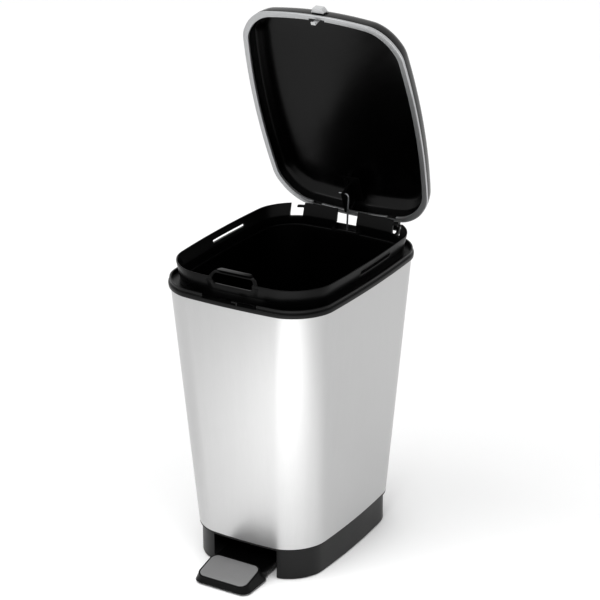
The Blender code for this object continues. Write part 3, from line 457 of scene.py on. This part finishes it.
finishes = {
    "silverSkin": metalFinish("brushedSilver", {
        "dark": (0.530, 0.530, 0.530), "light": (0.600, 0.600, 0.600), "roughness": (0.32, 0.38), "bump": 0.05,
        "depth": 0.0001, "Line Scale": 700.0, "Stretch": 0.010, "shader": {"Metallic": 0.97}}),
    "silverTrim": plasticFinish("silverTrimPaint", {
        "dark": (0.44, 0.445, 0.45), "light": (0.52, 0.525, 0.53), "roughness": (0.30, 0.38), "bump": 0.05,
        "depth": 0.0001, "Grain Scale": 2200.0, "shader": {"Metallic": 0.75}}),
    "lidBlack": blackFinish("lidBlackPlastic", 0.45, dark=(0.0008, 0.0008, 0.0009),
                            light=(0.0018, 0.0018, 0.0019), roughness=(0.20, 0.26), bump=0.06),
    "baseBlack": blackFinish("baseBlackPlastic", 0.65, roughness=(0.34, 0.42), bump=0.14),
    "tubBlack": blackFinish("tubBlackPlastic", 0.15, 1.30, dark=(0.0005, 0.0005, 0.0005),
                            light=(0.0010, 0.0010, 0.0010)),
    "rimBlack": blackFinish("rimBlackPlastic", 0.45),
    "ringBlack": blackFinish("ringBlackPlastic", 0.30, roughness=(0.26, 0.34)),
    "pedalBlack": blackFinish("pedalBlackPlastic", 0.25, bump=0.14),
    "fittingBlack": blackFinish("fittingBlackPlastic"),
    "latchGrey": plasticFinish("latchGreyPlastic", {
        "dark": (0.50, 0.505, 0.51), "light": (0.60, 0.605, 0.61), "roughness": (0.38, 0.48), "bump": 0.08,
        "depth": 0.0001, "shader": {"IOR": 1.46}}),
    "padGrey": plasticFinish("padGreyRubber", {
        "dark": (0.155, 0.155, 0.156), "light": (0.220, 0.220, 0.221), "roughness": (0.42, 0.56), "bump": 0.22,
        "depth": 0.0003, "Grain Scale": 900.0, "Pit Share": 0.8, "shader": {"IOR": 1.50}}),
    "steel": metalFinish("brightSteel", {
        "dark": (0.36, 0.37, 0.38), "light": (0.52, 0.53, 0.54), "roughness": (0.26, 0.36), "bump": 0.10,
        "depth": 0.0001, "Line Scale": 1200.0, "Stretch": 0.05, "shader": {"Metallic": 1.0}}),
    "zinc": plasticFinish("zincPlate", {
        "dark": (0.34, 0.35, 0.36), "light": (0.52, 0.53, 0.54), "roughness": (0.30, 0.45), "bump": 0.12,
        "depth": 0.0001, "Grain Scale": 600.0, "shader": {"Metallic": 1.0}}),
    "footRubber": plasticFinish("footRubber", {
        "dark": (0.018, 0.018, 0.018), "light": (0.034, 0.034, 0.034), "roughness": (0.75, 0.9), "bump": 0.3,
        "depth": 0.0003, "Grain Scale": 700.0}),
}
print("finishes made")


# the bin's own outline, which grows from the base to the rim

bodyShape = {"lowZ": 0.0546, "highZ": 0.4565, "lowX": 0.1062, "lowY": 0.1464, "lowCorner": 0.0526,
             "highX": 0.1325, "highY": 0.1745, "highCorner": 0.0556, "bow": 0.0083}


def bodyOutline(inset, z, fixedZ=None, trim=0.0, shift=0.0):
    b = bodyShape
    part = ((z if fixedZ is None else fixedZ) - b["lowZ"]) / (b["highZ"] - b["lowZ"])
    x, y, corner = (b["low" + k] + (b["high" + k] - b["low" + k]) * part for k in ("X", "Y", "Corner"))
    return {"z": z, "halfX": x - inset, "halfY": y - inset - trim, "front": corner - inset,
            "rear": corner - inset, "bow": b["bow"], "shift": shift}


sleeve = {"wall": 0.0015, "hem": 0.0005}


def makeSleeve():
    low, high, wall, hem = bodyShape["lowZ"], bodyShape["highZ"], sleeve["wall"], sleeve["hem"]
    line = roundLine([(0, low, hem), (0, high, hem), (wall, high, hem), (wall, low, hem)], True)
    obj = addShell("sleeve", [bodyOutline(inset, z) for inset, z in line], True)
    return finishPiece(obj, "bin", ["outer_sleeve"], finishes["silverSkin"], 60)


screw = {"hole": 0.0019, "freeHole": 0.0020}

# each line gives its corners as (inset from the body's outline, height, rounding)
base = {
    "line": [(0.030, 0.0015, 0), (0.0044, 0.0015, 0.0014), (0.0044, 0.0515, 0.0008), (0.0003, 0.0515, 0.0005),
             (0.0003, 0.0543, 0.0004), (0.0018, 0.0543, 0), (0.0018, 0.0660, 0.0005), (0.0043, 0.0660, 0.0005),
             (0.0043, 0.0543, 0.0008), (0.0069, 0.0543, 0.0008), (0.0069, 0.0040, 0.0020), (0.030, 0.0040, 0)],
    "recessX": 0.0570, "recessBackY": -0.1000, "recessTopZ": 0.0510, "wall": 0.0025,
    "blockY": (-0.1460, -0.1025), "blockLowZ": 0.0020, "roofY": (-0.1512, -0.1028), "roofTopZ": 0.0540,
    "seatRound": 0.0093, "seatTopZ": 0.0025, "bossX": 0.062, "bossY": (-0.072, 0.100), "bossRound": 0.0080,
    "bossZ": (0.0018, 0.0080), "boreRound": 0.0045, "boreTopZ": 0.0050, "holeZ": (0.001, 0.010),
    "soften": 0.0005,
}
foot = {"x": 0.078, "y": (-0.085, 0.113), "round": 0.0090, "topZ": 0.0022, "edge": 0.0006}


def makeBase():
    b = base
    line = roundLine(b["line"], False)
    obj = addShell("base", [bodyOutline(inset, z, bodyShape["lowZ"]) for inset, z in line], False)
    wide = b["recessX"] + b["wall"]
    add(obj, addBlock("recessBlock", (-wide, wide), b["blockY"], (b["blockLowZ"], b["roofTopZ"])),
        addBlock("recessRoof", (-wide, wide), b["roofY"], (b["recessTopZ"] - gap, b["roofTopZ"] - gap)))
    carve(obj, addBlock("recess", (-b["recessX"], b["recessX"]), (-far, b["recessBackY"]),
                        (-0.01, b["recessTopZ"])))
    for x in (-foot["x"], foot["x"]):
        for y in foot["y"]:
            carve(obj, addRound("seat", b["seatRound"], (x, y, -past), (x, y, b["seatTopZ"])))
    for x in (-b["bossX"], b["bossX"]):
        for y in b["bossY"]:
            low, high = b["bossZ"]
            add(obj, addRound("boss", b["bossRound"], (x, y, low), (x, y, high)))
            low, high = b["holeZ"]
            carve(obj, addRound("bossBore", b["boreRound"], (x, y, -past), (x, y, b["boreTopZ"])),
                  addRound("bossHole", screw["freeHole"], (x, y, low), (x, y, high)))
    softenEdges(obj, b["soften"])
    return finishPiece(obj, "bin", ["base_plinth"], finishes["baseBlack"])


tub = {"inset": 0.0045, "rearInset": 0.0137, "wall": 0.0020, "floorZ": 0.0705, "floorTopZ": 0.0730,
       "topZ": 0.4572, "floorRound": 0.004, "innerRound": 0.008, "lipRound": 0.0006, "floorInset": 0.02,
       "postRound": 0.0055, "postZ": (0.0083, 0.0719), "boreZ": (0.007, 0.024)}


def makeTub():
    t = tub
    less = (t["rearInset"] - t["inset"]) / 2
    wall, lip, floorInset = t["wall"], t["lipRound"], t["floorInset"]
    line = roundLine([(floorInset, t["floorZ"], 0), (0, t["floorZ"], t["floorRound"]), (0, t["topZ"], lip),
                      (wall, t["topZ"], lip), (wall, t["floorTopZ"], t["innerRound"]),
                      (floorInset + wall, t["floorTopZ"], 0)], False)
    obj = addShell("tub", [bodyOutline(t["inset"] + inset, z, None, less, -less) for inset, z in line], False)
    for x in (-base["bossX"], base["bossX"]):
        for y in base["bossY"]:
            low, high = t["postZ"]
            add(obj, addRound("post", t["postRound"], (x, y, low), (x, y, high)))
            low, high = t["boreZ"]
            carve(obj, addRound("postBore", screw["hole"], (x, y, low), (x, y, high)))
    return finishPiece(obj, "bin", ["inner_tub"], finishes["tubBlack"])


hinge = {"y": 0.1980, "z": 0.4722, "pin": 0.0020, "pinEdge": 0.0003, "tight": 0.00015, "running": 0.0004,
         "armX": (0.0595, 0.0760), "armRound": 0.0055, "armRoot": [(0.1830, 0.4750), (0.1895, 0.4750)],
         "armTop": (0.1830, 0.4890), "earRound": 0.0058, "earThick": 0.0040, "earRoot": (0.1815, 0.4580),
         "earTop": [(0.1888, 0.4668), (0.1815, 0.4668)], "beside": 0.0005}

rim = {
    "line": [(-0.0030, 0.4545, 0.0008), (-0.0030, 0.4605, 0.0014), (-0.0002, 0.4611, 0.0004),
             (0.0000, 0.4619, 0.0004), (-0.0006, 0.4630, 0.0006), (-0.0006, 0.4672, 0.0010),
             (0.0025, 0.4672, 0.0010), (0.0025, 0.4600, 0.0010), (0.0155, 0.4600, 0.0008),
             (0.0155, 0.4578, 0.0005), (0.0038, 0.4578, 0.0005), (0.0038, 0.4480, 0.0005),
             (0.0018, 0.4480, 0.0005), (0.0018, 0.4568, 0), (-0.0003, 0.4568, 0), (-0.0003, 0.4545, 0.0004)],
    "gapX": 0.0470, "gapZ": 0.4606, "gapEdge": 0.0010, "keeperX": (0.0050, 0.0150), "keeperPostX": 0.0127,
    "keeperY": (-0.1850, -0.1812), "keeperZ": (0.4640, 0.4660), "keeperLowZ": 0.4589, "keeperEdge": 0.0004,
    "slotX": (-0.0063, -0.0017), "slotY": (0.1715, 0.1761), "slotZ": (0.455, 0.462), "soften": 0.0003,
}


def makeRim():
    obj = addShell("rim", [bodyOutline(inset, z) for inset, z in roundLine(rim["line"], True)], True)
    wide = rim["gapX"]
    carve(obj, addBlock("beadGap", (-wide, wide), (-0.25, 0), (rim["gapZ"], 0.50), rim["gapEdge"]))
    thick = hinge["earThick"]
    inner, outer = hinge["armX"][0] - hinge["beside"] - thick, hinge["armX"][1] + hinge["beside"]
    for x in (inner, outer, -inner - thick, -outer - thick):
        shape = [hinge["earRoot"]] + arcPoints(hinge["y"], hinge["z"], hinge["earRound"], -75, 175, 28)
        add(obj, addPrism("ear", shape + hinge["earTop"], x, x + thick, "X"))
        carve(obj, addRound("earHole", hinge["pin"] + hinge["tight"], (x - past, hinge["y"], hinge["z"]),
                            (x + thick + past, hinge["y"], hinge["z"])))
    carve(obj, addBlock("rodSlot", rim["slotX"], rim["slotY"], rim["slotZ"]))
    (x0, x1), y, (z0, z1) = rim["keeperX"], rim["keeperY"], rim["keeperZ"]
    add(obj, addBlock("keeper", (x0, x1), y, (z0, z1), rim["keeperEdge"]),
        addBlock("keeperPost", (rim["keeperPostX"], x1 + gap), (y[0] + gap, y[1] - gap),
                 (rim["keeperLowZ"], z1 - gap)))
    softenEdges(obj, rim["soften"], 50)
    return finishPiece(obj, "bin", ["top_rim"], finishes["rimBlack"])


ring = {
    "halfX": 0.1271, "halfY": 0.1689, "corner": 0.0581, "shift": 0.0014,
    "line": [(0.0038, 0.4724, 0.0007), (0.0000, 0.4934, 0.0012), (0.0022, 0.4934, 0.0011),
             (0.0082, 0.4746, 0.0012), (0.0082, 0.4603, 0.0006), (0.0052, 0.4603, 0.0006),
             (0.0052, 0.4724, 0.0005)],
    "rear": (0.10, 0.25), "above": 0.52, "notchX": (-0.0225, 0.0145), "notchZ": (0.455, 0.50),
    "notchEdge": 0.0015, "notchGap": 0.0005, "bridgeY": (0.1650, 0.1695, 0.1725), "bridgeEnd": 0.0060,
    "bridgeZ": (0.4606, 0.4620), "hookX": (0.0810, 0.0912, 0.1010), "hookZ": (0.4730, 0.4866, 0.4900),
    "hookEdge": 0.0015, "mouthEdge": 0.0008, "mouthSink": 0.003, "slitX": (0.08, 0.18),
    "slitY": (-0.0250, 0.0660), "slitZ": (0.4790, 0.4840), "slitEdge": 0.0010, "soften": 0.0004,
}
grip = {"halfX": (0.0455, 0.0330), "z": (0.4880, 0.5045), "y": -0.1752, "lean": 0.0085, "thick": 0.0034,
        "shoulder": 0.007, "shoulderSteps": 8, "holeX": 0.0350, "holeZ": (0.4835, 0.4992), "holeRound": 0.0060,
        "soften": 0.0009}


def ringOutline(inset, z):
    corner = ring["corner"] - inset
    return {"z": z, "halfX": ring["halfX"] - inset, "halfY": ring["halfY"] - inset, "front": corner,
            "rear": corner, "bow": bodyShape["bow"], "shift": ring["shift"]}


def roundedShape(halfX, low, high, radius, steps=8):
    shape = []
    for x, z, start in ((halfX - radius, high - radius, 0), (radius - halfX, high - radius, 90),
                        (radius - halfX, low + radius, 180), (halfX - radius, low + radius, 270)):
        shape += arcPoints(x, z, radius, start, start + 90, steps)
    return shape


def makeGrip():
    # the arched plate of the finger grip, leaning inwards, with its shoulders rounded
    g = grip
    (low, high), (wide, narrow) = g["z"], g["halfX"]
    obj = addPrism("grip", [(-wide, low), (wide, low), (narrow, high), (-narrow, high)], g["y"],
                   g["y"] + g["thick"], "Y")
    startEditing(obj)
    pick("edges", lambda e: all(v.co.z > high - levelGap for v in e.verts)
         and abs(e.verts[0].co.x - e.verts[1].co.x) < levelGap)
    bpy.ops.mesh.bevel(offset=g["shoulder"], segments=g["shoulderSteps"], affect="EDGES", clamp_overlap=False)
    stopEditing()
    for v in obj.data.vertices:
        v.co.y += g["lean"] * max(0.0, (v.co.z - low) / (high - low))
    return softenEdges(obj, g["soften"], 40, 3)


def makeRing():
    r = ring
    obj = addShell("bagRing", [ringOutline(inset, z) for inset, z in roundLine(r["line"], True)], True)
    add(obj, makeGrip())
    hole = roundedShape(grip["holeX"], *grip["holeZ"], grip["holeRound"])
    carve(obj, addPrism("gripHole", hole, -0.20, -0.10, "Y"),
          addBlock("rodNotch", r["notchX"], r["rear"], r["notchZ"], r["notchEdge"]))
    x0, x1 = r["notchX"][0] - r["notchGap"], r["notchX"][1] + r["notchGap"]
    near, away, end = r["bridgeY"]
    x2, x3 = x0 - r["bridgeEnd"], x1 + r["bridgeEnd"]
    shape = [(x2, near), (x3, near), (x3, end), (x1, end), (x1, away), (x0, away), (x0, end), (x2, end)]
    add(obj, addPrism("bridge", shape, *r["bridgeZ"], "Z"))
    low, tongue, tip = r["hookZ"]
    for side in (-1, 1):
        a, b, c = (side * x for x in r["hookX"])
        carve(obj, addBlock("hook", sorted((a, c)), r["rear"], (low, tongue), r["hookEdge"]),
              addBlock("mouth", sorted((b, c)), r["rear"], (tongue - r["mouthSink"], r["above"]),
                       r["mouthEdge"]),
              addBlock("tip", sorted((a - side * gap, b + side * gap)), r["rear"], (tip, r["above"])),
              addBlock("slit", sorted(side * x for x in r["slitX"]), r["slitY"], r["slitZ"], r["slitEdge"]))
    softenEdges(obj, r["soften"], 50)
    return finishPiece(obj, "bin", ["bag_ring"], finishes["ringBlack"])


lid = {
    "open": 70.36, "z": 0.4695, "halfX": 0.1337, "halfY": 0.1756, "front": 0.0469, "rear": 0.0505,
    "bow": 0.0138, "cornerShare": 0.6, "cornerMost": 0.0240,
    "outside": [(0.0004, 0.0056), (0.0015, 0.0120), (0.0045, 0.0220), (0.0100, 0.0302), (0.0182, 0.0378),
                (0.0330, 0.0424), (0.0580, 0.0450), (0.0850, 0.0462), (0.1050, 0.0465)],
    "inside": [(0.0036, 0.0072), (0.0065, 0.0215), (0.0118, 0.0290), (0.0195, 0.0360), (0.0340, 0.0403),
               (0.0580, 0.0427), (0.0850, 0.0439), (0.1050, 0.0442)],
    "lip": [(0.0005, 0.0043), (0.0080, 0.0043), (0.0082, 0.0045), (0.0082, 0.0062), (0.0080, 0.0064),
            (0.0038, 0.0064)],
    "slotX": (-0.0120, 0.0150), "slotEndY": -0.1775, "slotZ": (0.4800, 0.4870), "slotEdge": 0.0008,
    "flangeY": (-0.1840, -0.1760), "bossX": -0.0205, "bosses": ((0.1400, 0.5118), (0.1700, 0.5060)),
    "bossLowZ": 0.4973, "bossRound": 0.0035, "holeZ": (0.4960, 0.5030),
}


def lidOutline(inset, height):
    less = min(lid["cornerShare"] * inset, lid["cornerMost"])
    return {"z": lid["z"] + height, "halfX": lid["halfX"] - inset, "halfY": lid["halfY"] - inset,
            "front": lid["front"] - less, "rear": lid["rear"] - less, "bow": lid["bow"]}


def openLid(obj):
    turnPiece(obj, math.radians(lid["open"]) * -turnSign, (0, hinge["y"], hinge["z"]))


def makeLid():
    line = easeLine(lid["outside"])[::-1] + lid["lip"] + easeLine(lid["inside"])
    obj = addShell("lid", [lidOutline(*at) for at in line], False)
    for side in (-1, 1):
        x0, x1 = sorted(side * x for x in hinge["armX"])
        shape = hinge["armRoot"] + arcPoints(hinge["y"], hinge["z"], hinge["armRound"], -120, 80, 24)
        add(obj, addPrism("arm", shape + [hinge["armTop"]], x0, x1, "X"))
        carve(obj, addRound("armHole", hinge["pin"] + hinge["running"], (x0 - past, hinge["y"], hinge["z"]),
                            (x1 + past, hinge["y"], hinge["z"])))
    x, (z0, z1) = lid["bossX"], lid["holeZ"]
    for y, top in lid["bosses"]:
        add(obj, addRound("boss", lid["bossRound"], (x, y, lid["bossLowZ"]), (x, y, top)))
        carve(obj, addRound("bossHole", screw["hole"], (x, y, z0), (x, y, z1)))
    low, high = lid["slotZ"]
    carve(obj, addBlock("slot", lid["slotX"], (-0.25, lid["slotEndY"]), (low, high), lid["slotEdge"]),
          addBlock("flangeSlot", lid["slotX"], lid["flangeY"], (0.46, low + gap)))
    openLid(obj)
    return finishPiece(obj, "lid", ["lid_shell"], finishes["lidBlack"], 30)


trim = {"wide": 0.0085, "high": 0.0040, "outerRound": 0.0011, "edgeRound": 0.0004, "innerRound": 0.0010,
        "notch": 0.0010, "notchEdge": 0.0006, "cutZ": (0.46, 0.48)}


def makeTrim():
    wide, high, edge = trim["wide"], trim["high"], trim["edgeRound"]
    line = roundLine([(0, 0, trim["outerRound"]), (0, high, edge), (wide, high, edge),
                      (wide, 0, trim["innerRound"])], True)
    obj = addShell("trimRing", [lidOutline(*at) for at in line], True)
    rear = lid["halfY"] + lid["bow"] - wide + trim["notch"]
    for side in (-1, 1):
        carve(obj, addBlock("notch", sorted(side * x for x in hinge["armX"]), (0, rear), trim["cutZ"],
                            trim["notchEdge"]))
    carve(obj, addBlock("latchGap", lid["slotX"], (lid["flangeY"][0], 0), trim["cutZ"], trim["notchEdge"]))
    openLid(obj)
    return finishPiece(obj, "lid", ["lid_trim_ring"], finishes["silverTrim"])


latch = {"halfX": 0.0105, "tipHalfX": 0.0075, "z": (0.4772, 0.4905), "tipZ": (0.4787, 0.4895), "off": 0.0001,
         "plate": 0.0016, "out": 0.0085, "slope": 0.20, "soften": 0.0008, "ribs": 4, "ribX": -0.0045,
         "ribPitch": 0.0030, "ribHalf": 0.0005, "ribDepth": 0.0004, "ribZ": (0.480, 0.4885), "ribEdge": 0.0002,
         "neckX": 0.0040, "neckEndY": -0.1785, "neckZ": (0.4810, 0.4860), "tongueY": (-0.1805, -0.1788),
         "tongueLowZ": 0.4615, "footY": (-0.1835, -0.1791), "footZ": (0.4612, 0.4632)}


def makeLatch():
    t = latch
    (low, high), (tipLow, tipHigh), wide = t["z"], t["tipZ"], t["halfX"]
    face = -(lid["halfY"] + lid["bow"])
    back = face - t["off"]
    shape = [(-wide, low), (wide, low), (wide, high), (-wide, high)]
    obj = addPrism("latch", shape, back, back - t["plate"], "Y")
    startEditing(obj)
    pick("verts", lambda v: v.co.y < face - t["plate"])
    bpy.ops.mesh.extrude_region_move(TRANSFORM_OT_translate={"value": (0, t["plate"] - t["out"], 0)})
    bpy.ops.transform.resize(value=(t["tipHalfX"] / wide, 1, (tipHigh - tipLow) / (high - low)))
    stopEditing()
    for v in obj.data.vertices:
        v.co.y += (v.co.z - low) * t["slope"]
    softenEdges(obj, t["soften"], 20, 3)
    for i in range(t["ribs"]):
        x = t["ribX"] + t["ribPitch"] * i
        carve(obj, addBlock("rib", (x - t["ribHalf"], x + t["ribHalf"]),
                            (face - 0.02, face - t["out"] + t["ribDepth"]), t["ribZ"], t["ribEdge"], 2))
    neck, neckTop = t["neckX"], t["neckZ"][1]
    add(obj, addBlock("neck", (-neck, neck), (face - t["plate"], t["neckEndY"]), t["neckZ"]),
        addBlock("tongue", (gap - neck, neck - gap), t["tongueY"], (t["tongueLowZ"], neckTop - gap)),
        addBlock("foot", (-neck, neck), t["footY"], t["footZ"]))
    openLid(obj)
    return finishPiece(obj, "latch", ["lid_latch"], finishes["latchGrey"])


# skirtEdge and topEdge are the rounded edges, as (inset, height above the skirt's foot or the sloping top)
pedal = {
    "halfX": 0.0450, "y": (-0.2219, -0.1673), "corner": 0.0140, "frontZ": 0.0145, "slope": 13.2,
    "skirtHalfX": 0.0490, "skirtY": (-0.2236, -0.1560), "skirtZ": 0.0040, "border": 0.0024, "padDepth": 0.0018,
    "skirtEdge": [(0.0006, 0), (0.0002, 0.0002), (0, 0.0006)],
    "topEdge": [(-0.0003, -0.0028), (-0.0001, -0.0014), (0.0002, -0.0006), (0.0007, -0.0001), (0.0013, 0.0),
                (0.0021, -0.0001), (0.0024, -0.0004)],
    "neckX": 0.0440, "neckY": (-0.1800, -0.1180), "neckZ": (0.0200, 0.0262), "neckUnder": (-0.1660, 0.0172),
    "neckEdge": 0.0004, "lever": ((-0.1540, 0.0112), (-0.0610, 0.0290)), "screwY": (-0.1450, -0.1280),
    "screwZ": (-0.002, 0.0033), "soften": 0.0004,
}
pad = {"lowLift": -0.0015, "topLift": 0.0003, "lowRound": 0.0003, "topRound": 0.0006, "flat": 0.02,
       "most": 0.0110}


def flatOutline(halfX, y, corner, z):
    return {"z": z, "halfX": halfX, "halfY": (y[1] - y[0]) / 2, "front": corner, "rear": corner, "bow": 0.0,
            "shift": (y[0] + y[1]) / 2}


def slopedOutline(inset, lift):
    # an outline that lies on the pedal's sloping top, or lifted off it
    p = pedal
    slope = math.radians(p["slope"])
    outline = flatOutline(p["halfX"] - inset, (p["y"][0] + inset, p["y"][1] - inset), p["corner"] - inset, 0)
    middle = outline["shift"]
    outline["z"] = p["frontZ"] + (middle - p["y"][0]) * math.tan(slope) + lift * math.cos(slope)
    outline["shift"] = middle - lift * math.sin(slope)
    outline["tilt"] = slope
    return outline


def leverTop(y):
    (y0, z0), (y1, z1) = pedal["lever"]
    return z0 + (z1 - z0) * (y - y0) / (y1 - y0)


def makePedal():
    p = pedal
    hollow, depth, corner, skirtZ = p["border"], p["padDepth"], p["corner"], p["skirtZ"]
    (front, rear), (skirtFront, skirtRear) = p["y"], p["skirtY"]
    inside = flatOutline(p["halfX"] - hollow, (front + hollow, rear - hollow), corner - hollow, skirtZ)
    skirt = [flatOutline(p["skirtHalfX"] - inset, (skirtFront + inset, skirtRear - inset), corner - inset,
                         skirtZ + up) for inset, up in p["skirtEdge"]]
    top = [slopedOutline(*at) for at in p["topEdge"] + [(hollow, -depth)]]
    obj = addShell("pedal", [slopedOutline(hollow, -depth - 2 * hollow), inside] + skirt + top, False)
    (y0, y1), (z0, z1), (underY, underZ) = p["neckY"], p["neckZ"], p["neckUnder"]
    leverY = p["lever"][0][0] - gap
    shape = [(y0, underZ), (y0, z0), (y1, z1), (y1, leverTop(y1) + gap), (leverY, leverTop(leverY) + gap),
             (leverY, skirtZ), (underY, skirtZ)]
    add(obj, addPrism("neck", shape, -p["neckX"], p["neckX"], "X", p["neckEdge"]))
    low, high = p["screwZ"]
    for y in p["screwY"]:
        carve(obj, addRound("screwHole", screw["hole"], (0, y, leverTop(y) + low), (0, y, leverTop(y) + high)))
    softenEdges(obj, p["soften"], 50)
    return finishPiece(obj, "pedal", ["pedal_body"], finishes["pedalBlack"])


def makePad():
    edge, low, high = pedal["border"] + gap, pad["lowLift"], pad["topLift"]
    line = roundLine([(edge + pad["flat"], low, 0), (edge, low, pad["lowRound"]), (edge, high, pad["topRound"]),
                      (edge + pad["flat"], high, 0)], False)
    outlines = [slopedOutline(min(inset, edge + pad["most"]), lift) for inset, lift in line]
    obj = addShell("pedalPad", outlines, False)
    return finishPiece(obj, "pedal", ["pedal_pad"], finishes["padGrey"])


rod = {"radius": 0.0015, "x": -0.0040, "topY": 0.1780, "topZ": 0.5200, "lean": 0.0699, "footZ": 0.0658,
       "footY": 0.1335, "endX": -0.0210, "bend": 0.0050, "sides": 24, "bendSteps": 10}


def makeRod():
    # a wire: its round section drawn out along straight runs and spun round the two bends
    deselectAll()
    x, topY, topZ, footY, footZ = (rod[k] for k in ("x", "topY", "topZ", "footY", "footZ"))
    runs = [Vector((0, 1, 0)), Vector((0, rod["lean"], 1)).normalized(), Vector((-1, 0, 0))]
    places = [Vector(at) for at in ((x, footY, footZ), (x, topY - (topZ - footZ) * rod["lean"], footZ),
                                    (x, topY, topZ), (rod["endX"], topY, topZ))]
    bpy.ops.mesh.primitive_circle_add(vertices=rod["sides"], radius=rod["radius"], fill_type="NGON",
                                      location=places[0], rotation=(math.radians(90), 0, 0))
    obj = bpy.context.object
    obj.name = obj.data.name = "pushRod"
    bpy.ops.object.transform_apply(location=True, rotation=True)
    startEditing(obj)
    at = places[0]
    for i, run in enumerate(runs):
        turns = i < len(runs) - 1
        following = places[i + 1] - run * (rod["bend"] if turns else 0)
        bpy.ops.mesh.extrude_region_move(TRANSFORM_OT_translate={"value": following - at})
        if turns:
            turn = run.angle(runs[i + 1])
            radius = rod["bend"] / math.tan(turn / 2)
            axis = run.cross(runs[i + 1]).normalized()
            centre = following + (runs[i + 1] - run * run.dot(runs[i + 1])).normalized() * radius
            bpy.ops.mesh.spin(steps=rod["bendSteps"], angle=-turn, center=centre, axis=axis)
            following = places[i + 1] + runs[i + 1] * rod["bend"]
        at = following
    bpy.ops.mesh.select_all(action="SELECT")
    bpy.ops.mesh.remove_doubles(threshold=levelGap)
    bpy.ops.mesh.normals_make_consistent(inside=False)
    stopEditing()
    return finishPiece(obj, "rod", ["push_rod"], finishes["steel"])


def makePins():
    inner = hinge["armX"][0] - hinge["beside"] - hinge["earThick"]
    outer = hinge["armX"][1] + hinge["beside"] + hinge["earThick"]
    for side, word in ((-1, "Left"), (1, "Right")):
        obj = addRound("hingePin" + word, hinge["pin"], (side * inner, hinge["y"], hinge["z"]),
                       (side * outer, hinge["y"], hinge["z"]), hinge["pinEdge"])
        finishPiece(obj, "bin", ["hinge_pin_" + word.lower()], finishes["steel"])


def makeFeet():
    for x, sideways in ((-foot["x"], "Left"), (foot["x"], "Right")):
        for y, along in zip(foot["y"], ("Front", "Rear")):
            obj = addRound("foot" + along + sideways, foot["round"], (x, y, 0), (x, y, foot["topZ"]),
                           foot["edge"])
            finishPiece(obj, "bin", [f"foot_{along}_{sideways}".lower()], finishes["footRubber"])


def finishCadNodes():
    # the nodes left showing as the CAD has them; a later word overrides an earlier one
    looks = {"axle_bearing": "fittingBlack", "rod_guide": "fittingBlack", "rod_bracket": "fittingBlack",
             "pedal_lever": "zinc", "lever_axle": "steel", "screw": "zinc", "bracket_screw": "fittingBlack"}
    for name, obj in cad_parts.items():
        for word, look in looks.items():
            if word in name and not obj.hide_render:
                obj.data.materials.clear()
                obj.data.materials.append(finishes[look])


def findTurnSign():
    # whether turning by a positive angle about X lifts +Y, tried on a spare block
    obj = addBlock("trial", (-1, 1), (1, 2), (0, 1))
    turnPiece(obj, math.radians(90), (0, 0, 0))
    highest = max(v.co.z for v in obj.data.vertices)
    bpy.data.objects.remove(obj)
    return 1 if highest > 1.5 else -1


turnSign = findTurnSign()
makeSleeve()
makeBase()
makeTub()
makeRim()
makeRing()
makeLid()
makeTrim()
makeLatch()
makePedal()
makePad()
makeRod()
makePins()
makeFeet()
finishCadNodes()
print("pieces made")


# floor, light and camera

studio = {
    "floorSize": 40.0, "floorColour": (0.95, 0.95, 0.95), "floorRoughness": 0.9,
    "worldColour": (1.0, 1.0, 1.0), "worldStrength": 1.05,
    "topLight": {"place": (-0.8, -0.6, 2.6), "aim": (0, 0, 0.2), "size": 1.2, "power": 8.0},
    "poolLight": {"place": (0.6, -1.6, 1.9), "aim": (0.45, -1.00, 0), "angle": 56.0, "power": 270.0,
                  "softness": 0.15},
    "gamma": 0.8,
}
view = {"place": (1.58688, -2.63253, 1.65793), "target": (0.0121, 0.0, 0.4047), "roll": -0.153, "lens": 129.08}


def pointAt(obj, target):
    obj.rotation_mode = "QUATERNION"
    obj.rotation_quaternion = (Vector(target) - obj.location).to_track_quat("-Z", "Y")


def makeStudio():
    deselectAll()
    bpy.ops.mesh.primitive_plane_add(size=studio["floorSize"])
    floor = bpy.context.object
    floor.name = "floor"
    finish = bpy.data.materials.new("floor_paint")
    finish.use_nodes = True
    shader = finish.node_tree.nodes["Principled BSDF"]
    shader.inputs["Base Color"].default_value = (*studio["floorColour"], 1)
    shader.inputs["Roughness"].default_value = studio["floorRoughness"]
    floor.data.materials.append(finish)
    world = bpy.data.worlds.new("studio")
    world.use_nodes = True
    background = world.node_tree.nodes["Background"]
    background.inputs["Color"].default_value = (*studio["worldColour"], 1)
    background.inputs["Strength"].default_value = studio["worldStrength"]
    bpy.context.scene.world = world
    top, pool = studio["topLight"], studio["poolLight"]
    bpy.ops.object.light_add(type="AREA", location=top["place"])
    light = bpy.context.object
    light.name = "topLight"
    light.data.size, light.data.energy = top["size"], top["power"]
    pointAt(light, top["aim"])
    bpy.ops.object.light_add(type="SPOT", location=pool["place"])
    light = bpy.context.object
    light.name = "poolLight"
    light.data.spot_size, light.data.spot_blend = math.radians(pool["angle"]), 1.0
    light.data.energy, light.data.shadow_soft_size = pool["power"], pool["softness"]
    pointAt(light, pool["aim"])


def makeCamera():
    bpy.ops.object.camera_add(location=view["place"])
    camera = bpy.context.object
    camera.name = "camera"
    pointAt(camera, view["target"])
    camera.rotation_quaternion @= Quaternion((0, 0, 1), math.radians(view["roll"]))
    camera.data.lens, camera.data.clip_end = view["lens"], 100
    bpy.context.scene.camera = camera
    bpy.context.scene.view_settings.view_transform = "Standard"
    bpy.context.scene.view_settings.gamma = studio["gamma"]


makeStudio()
makeCamera()
print("studio made")
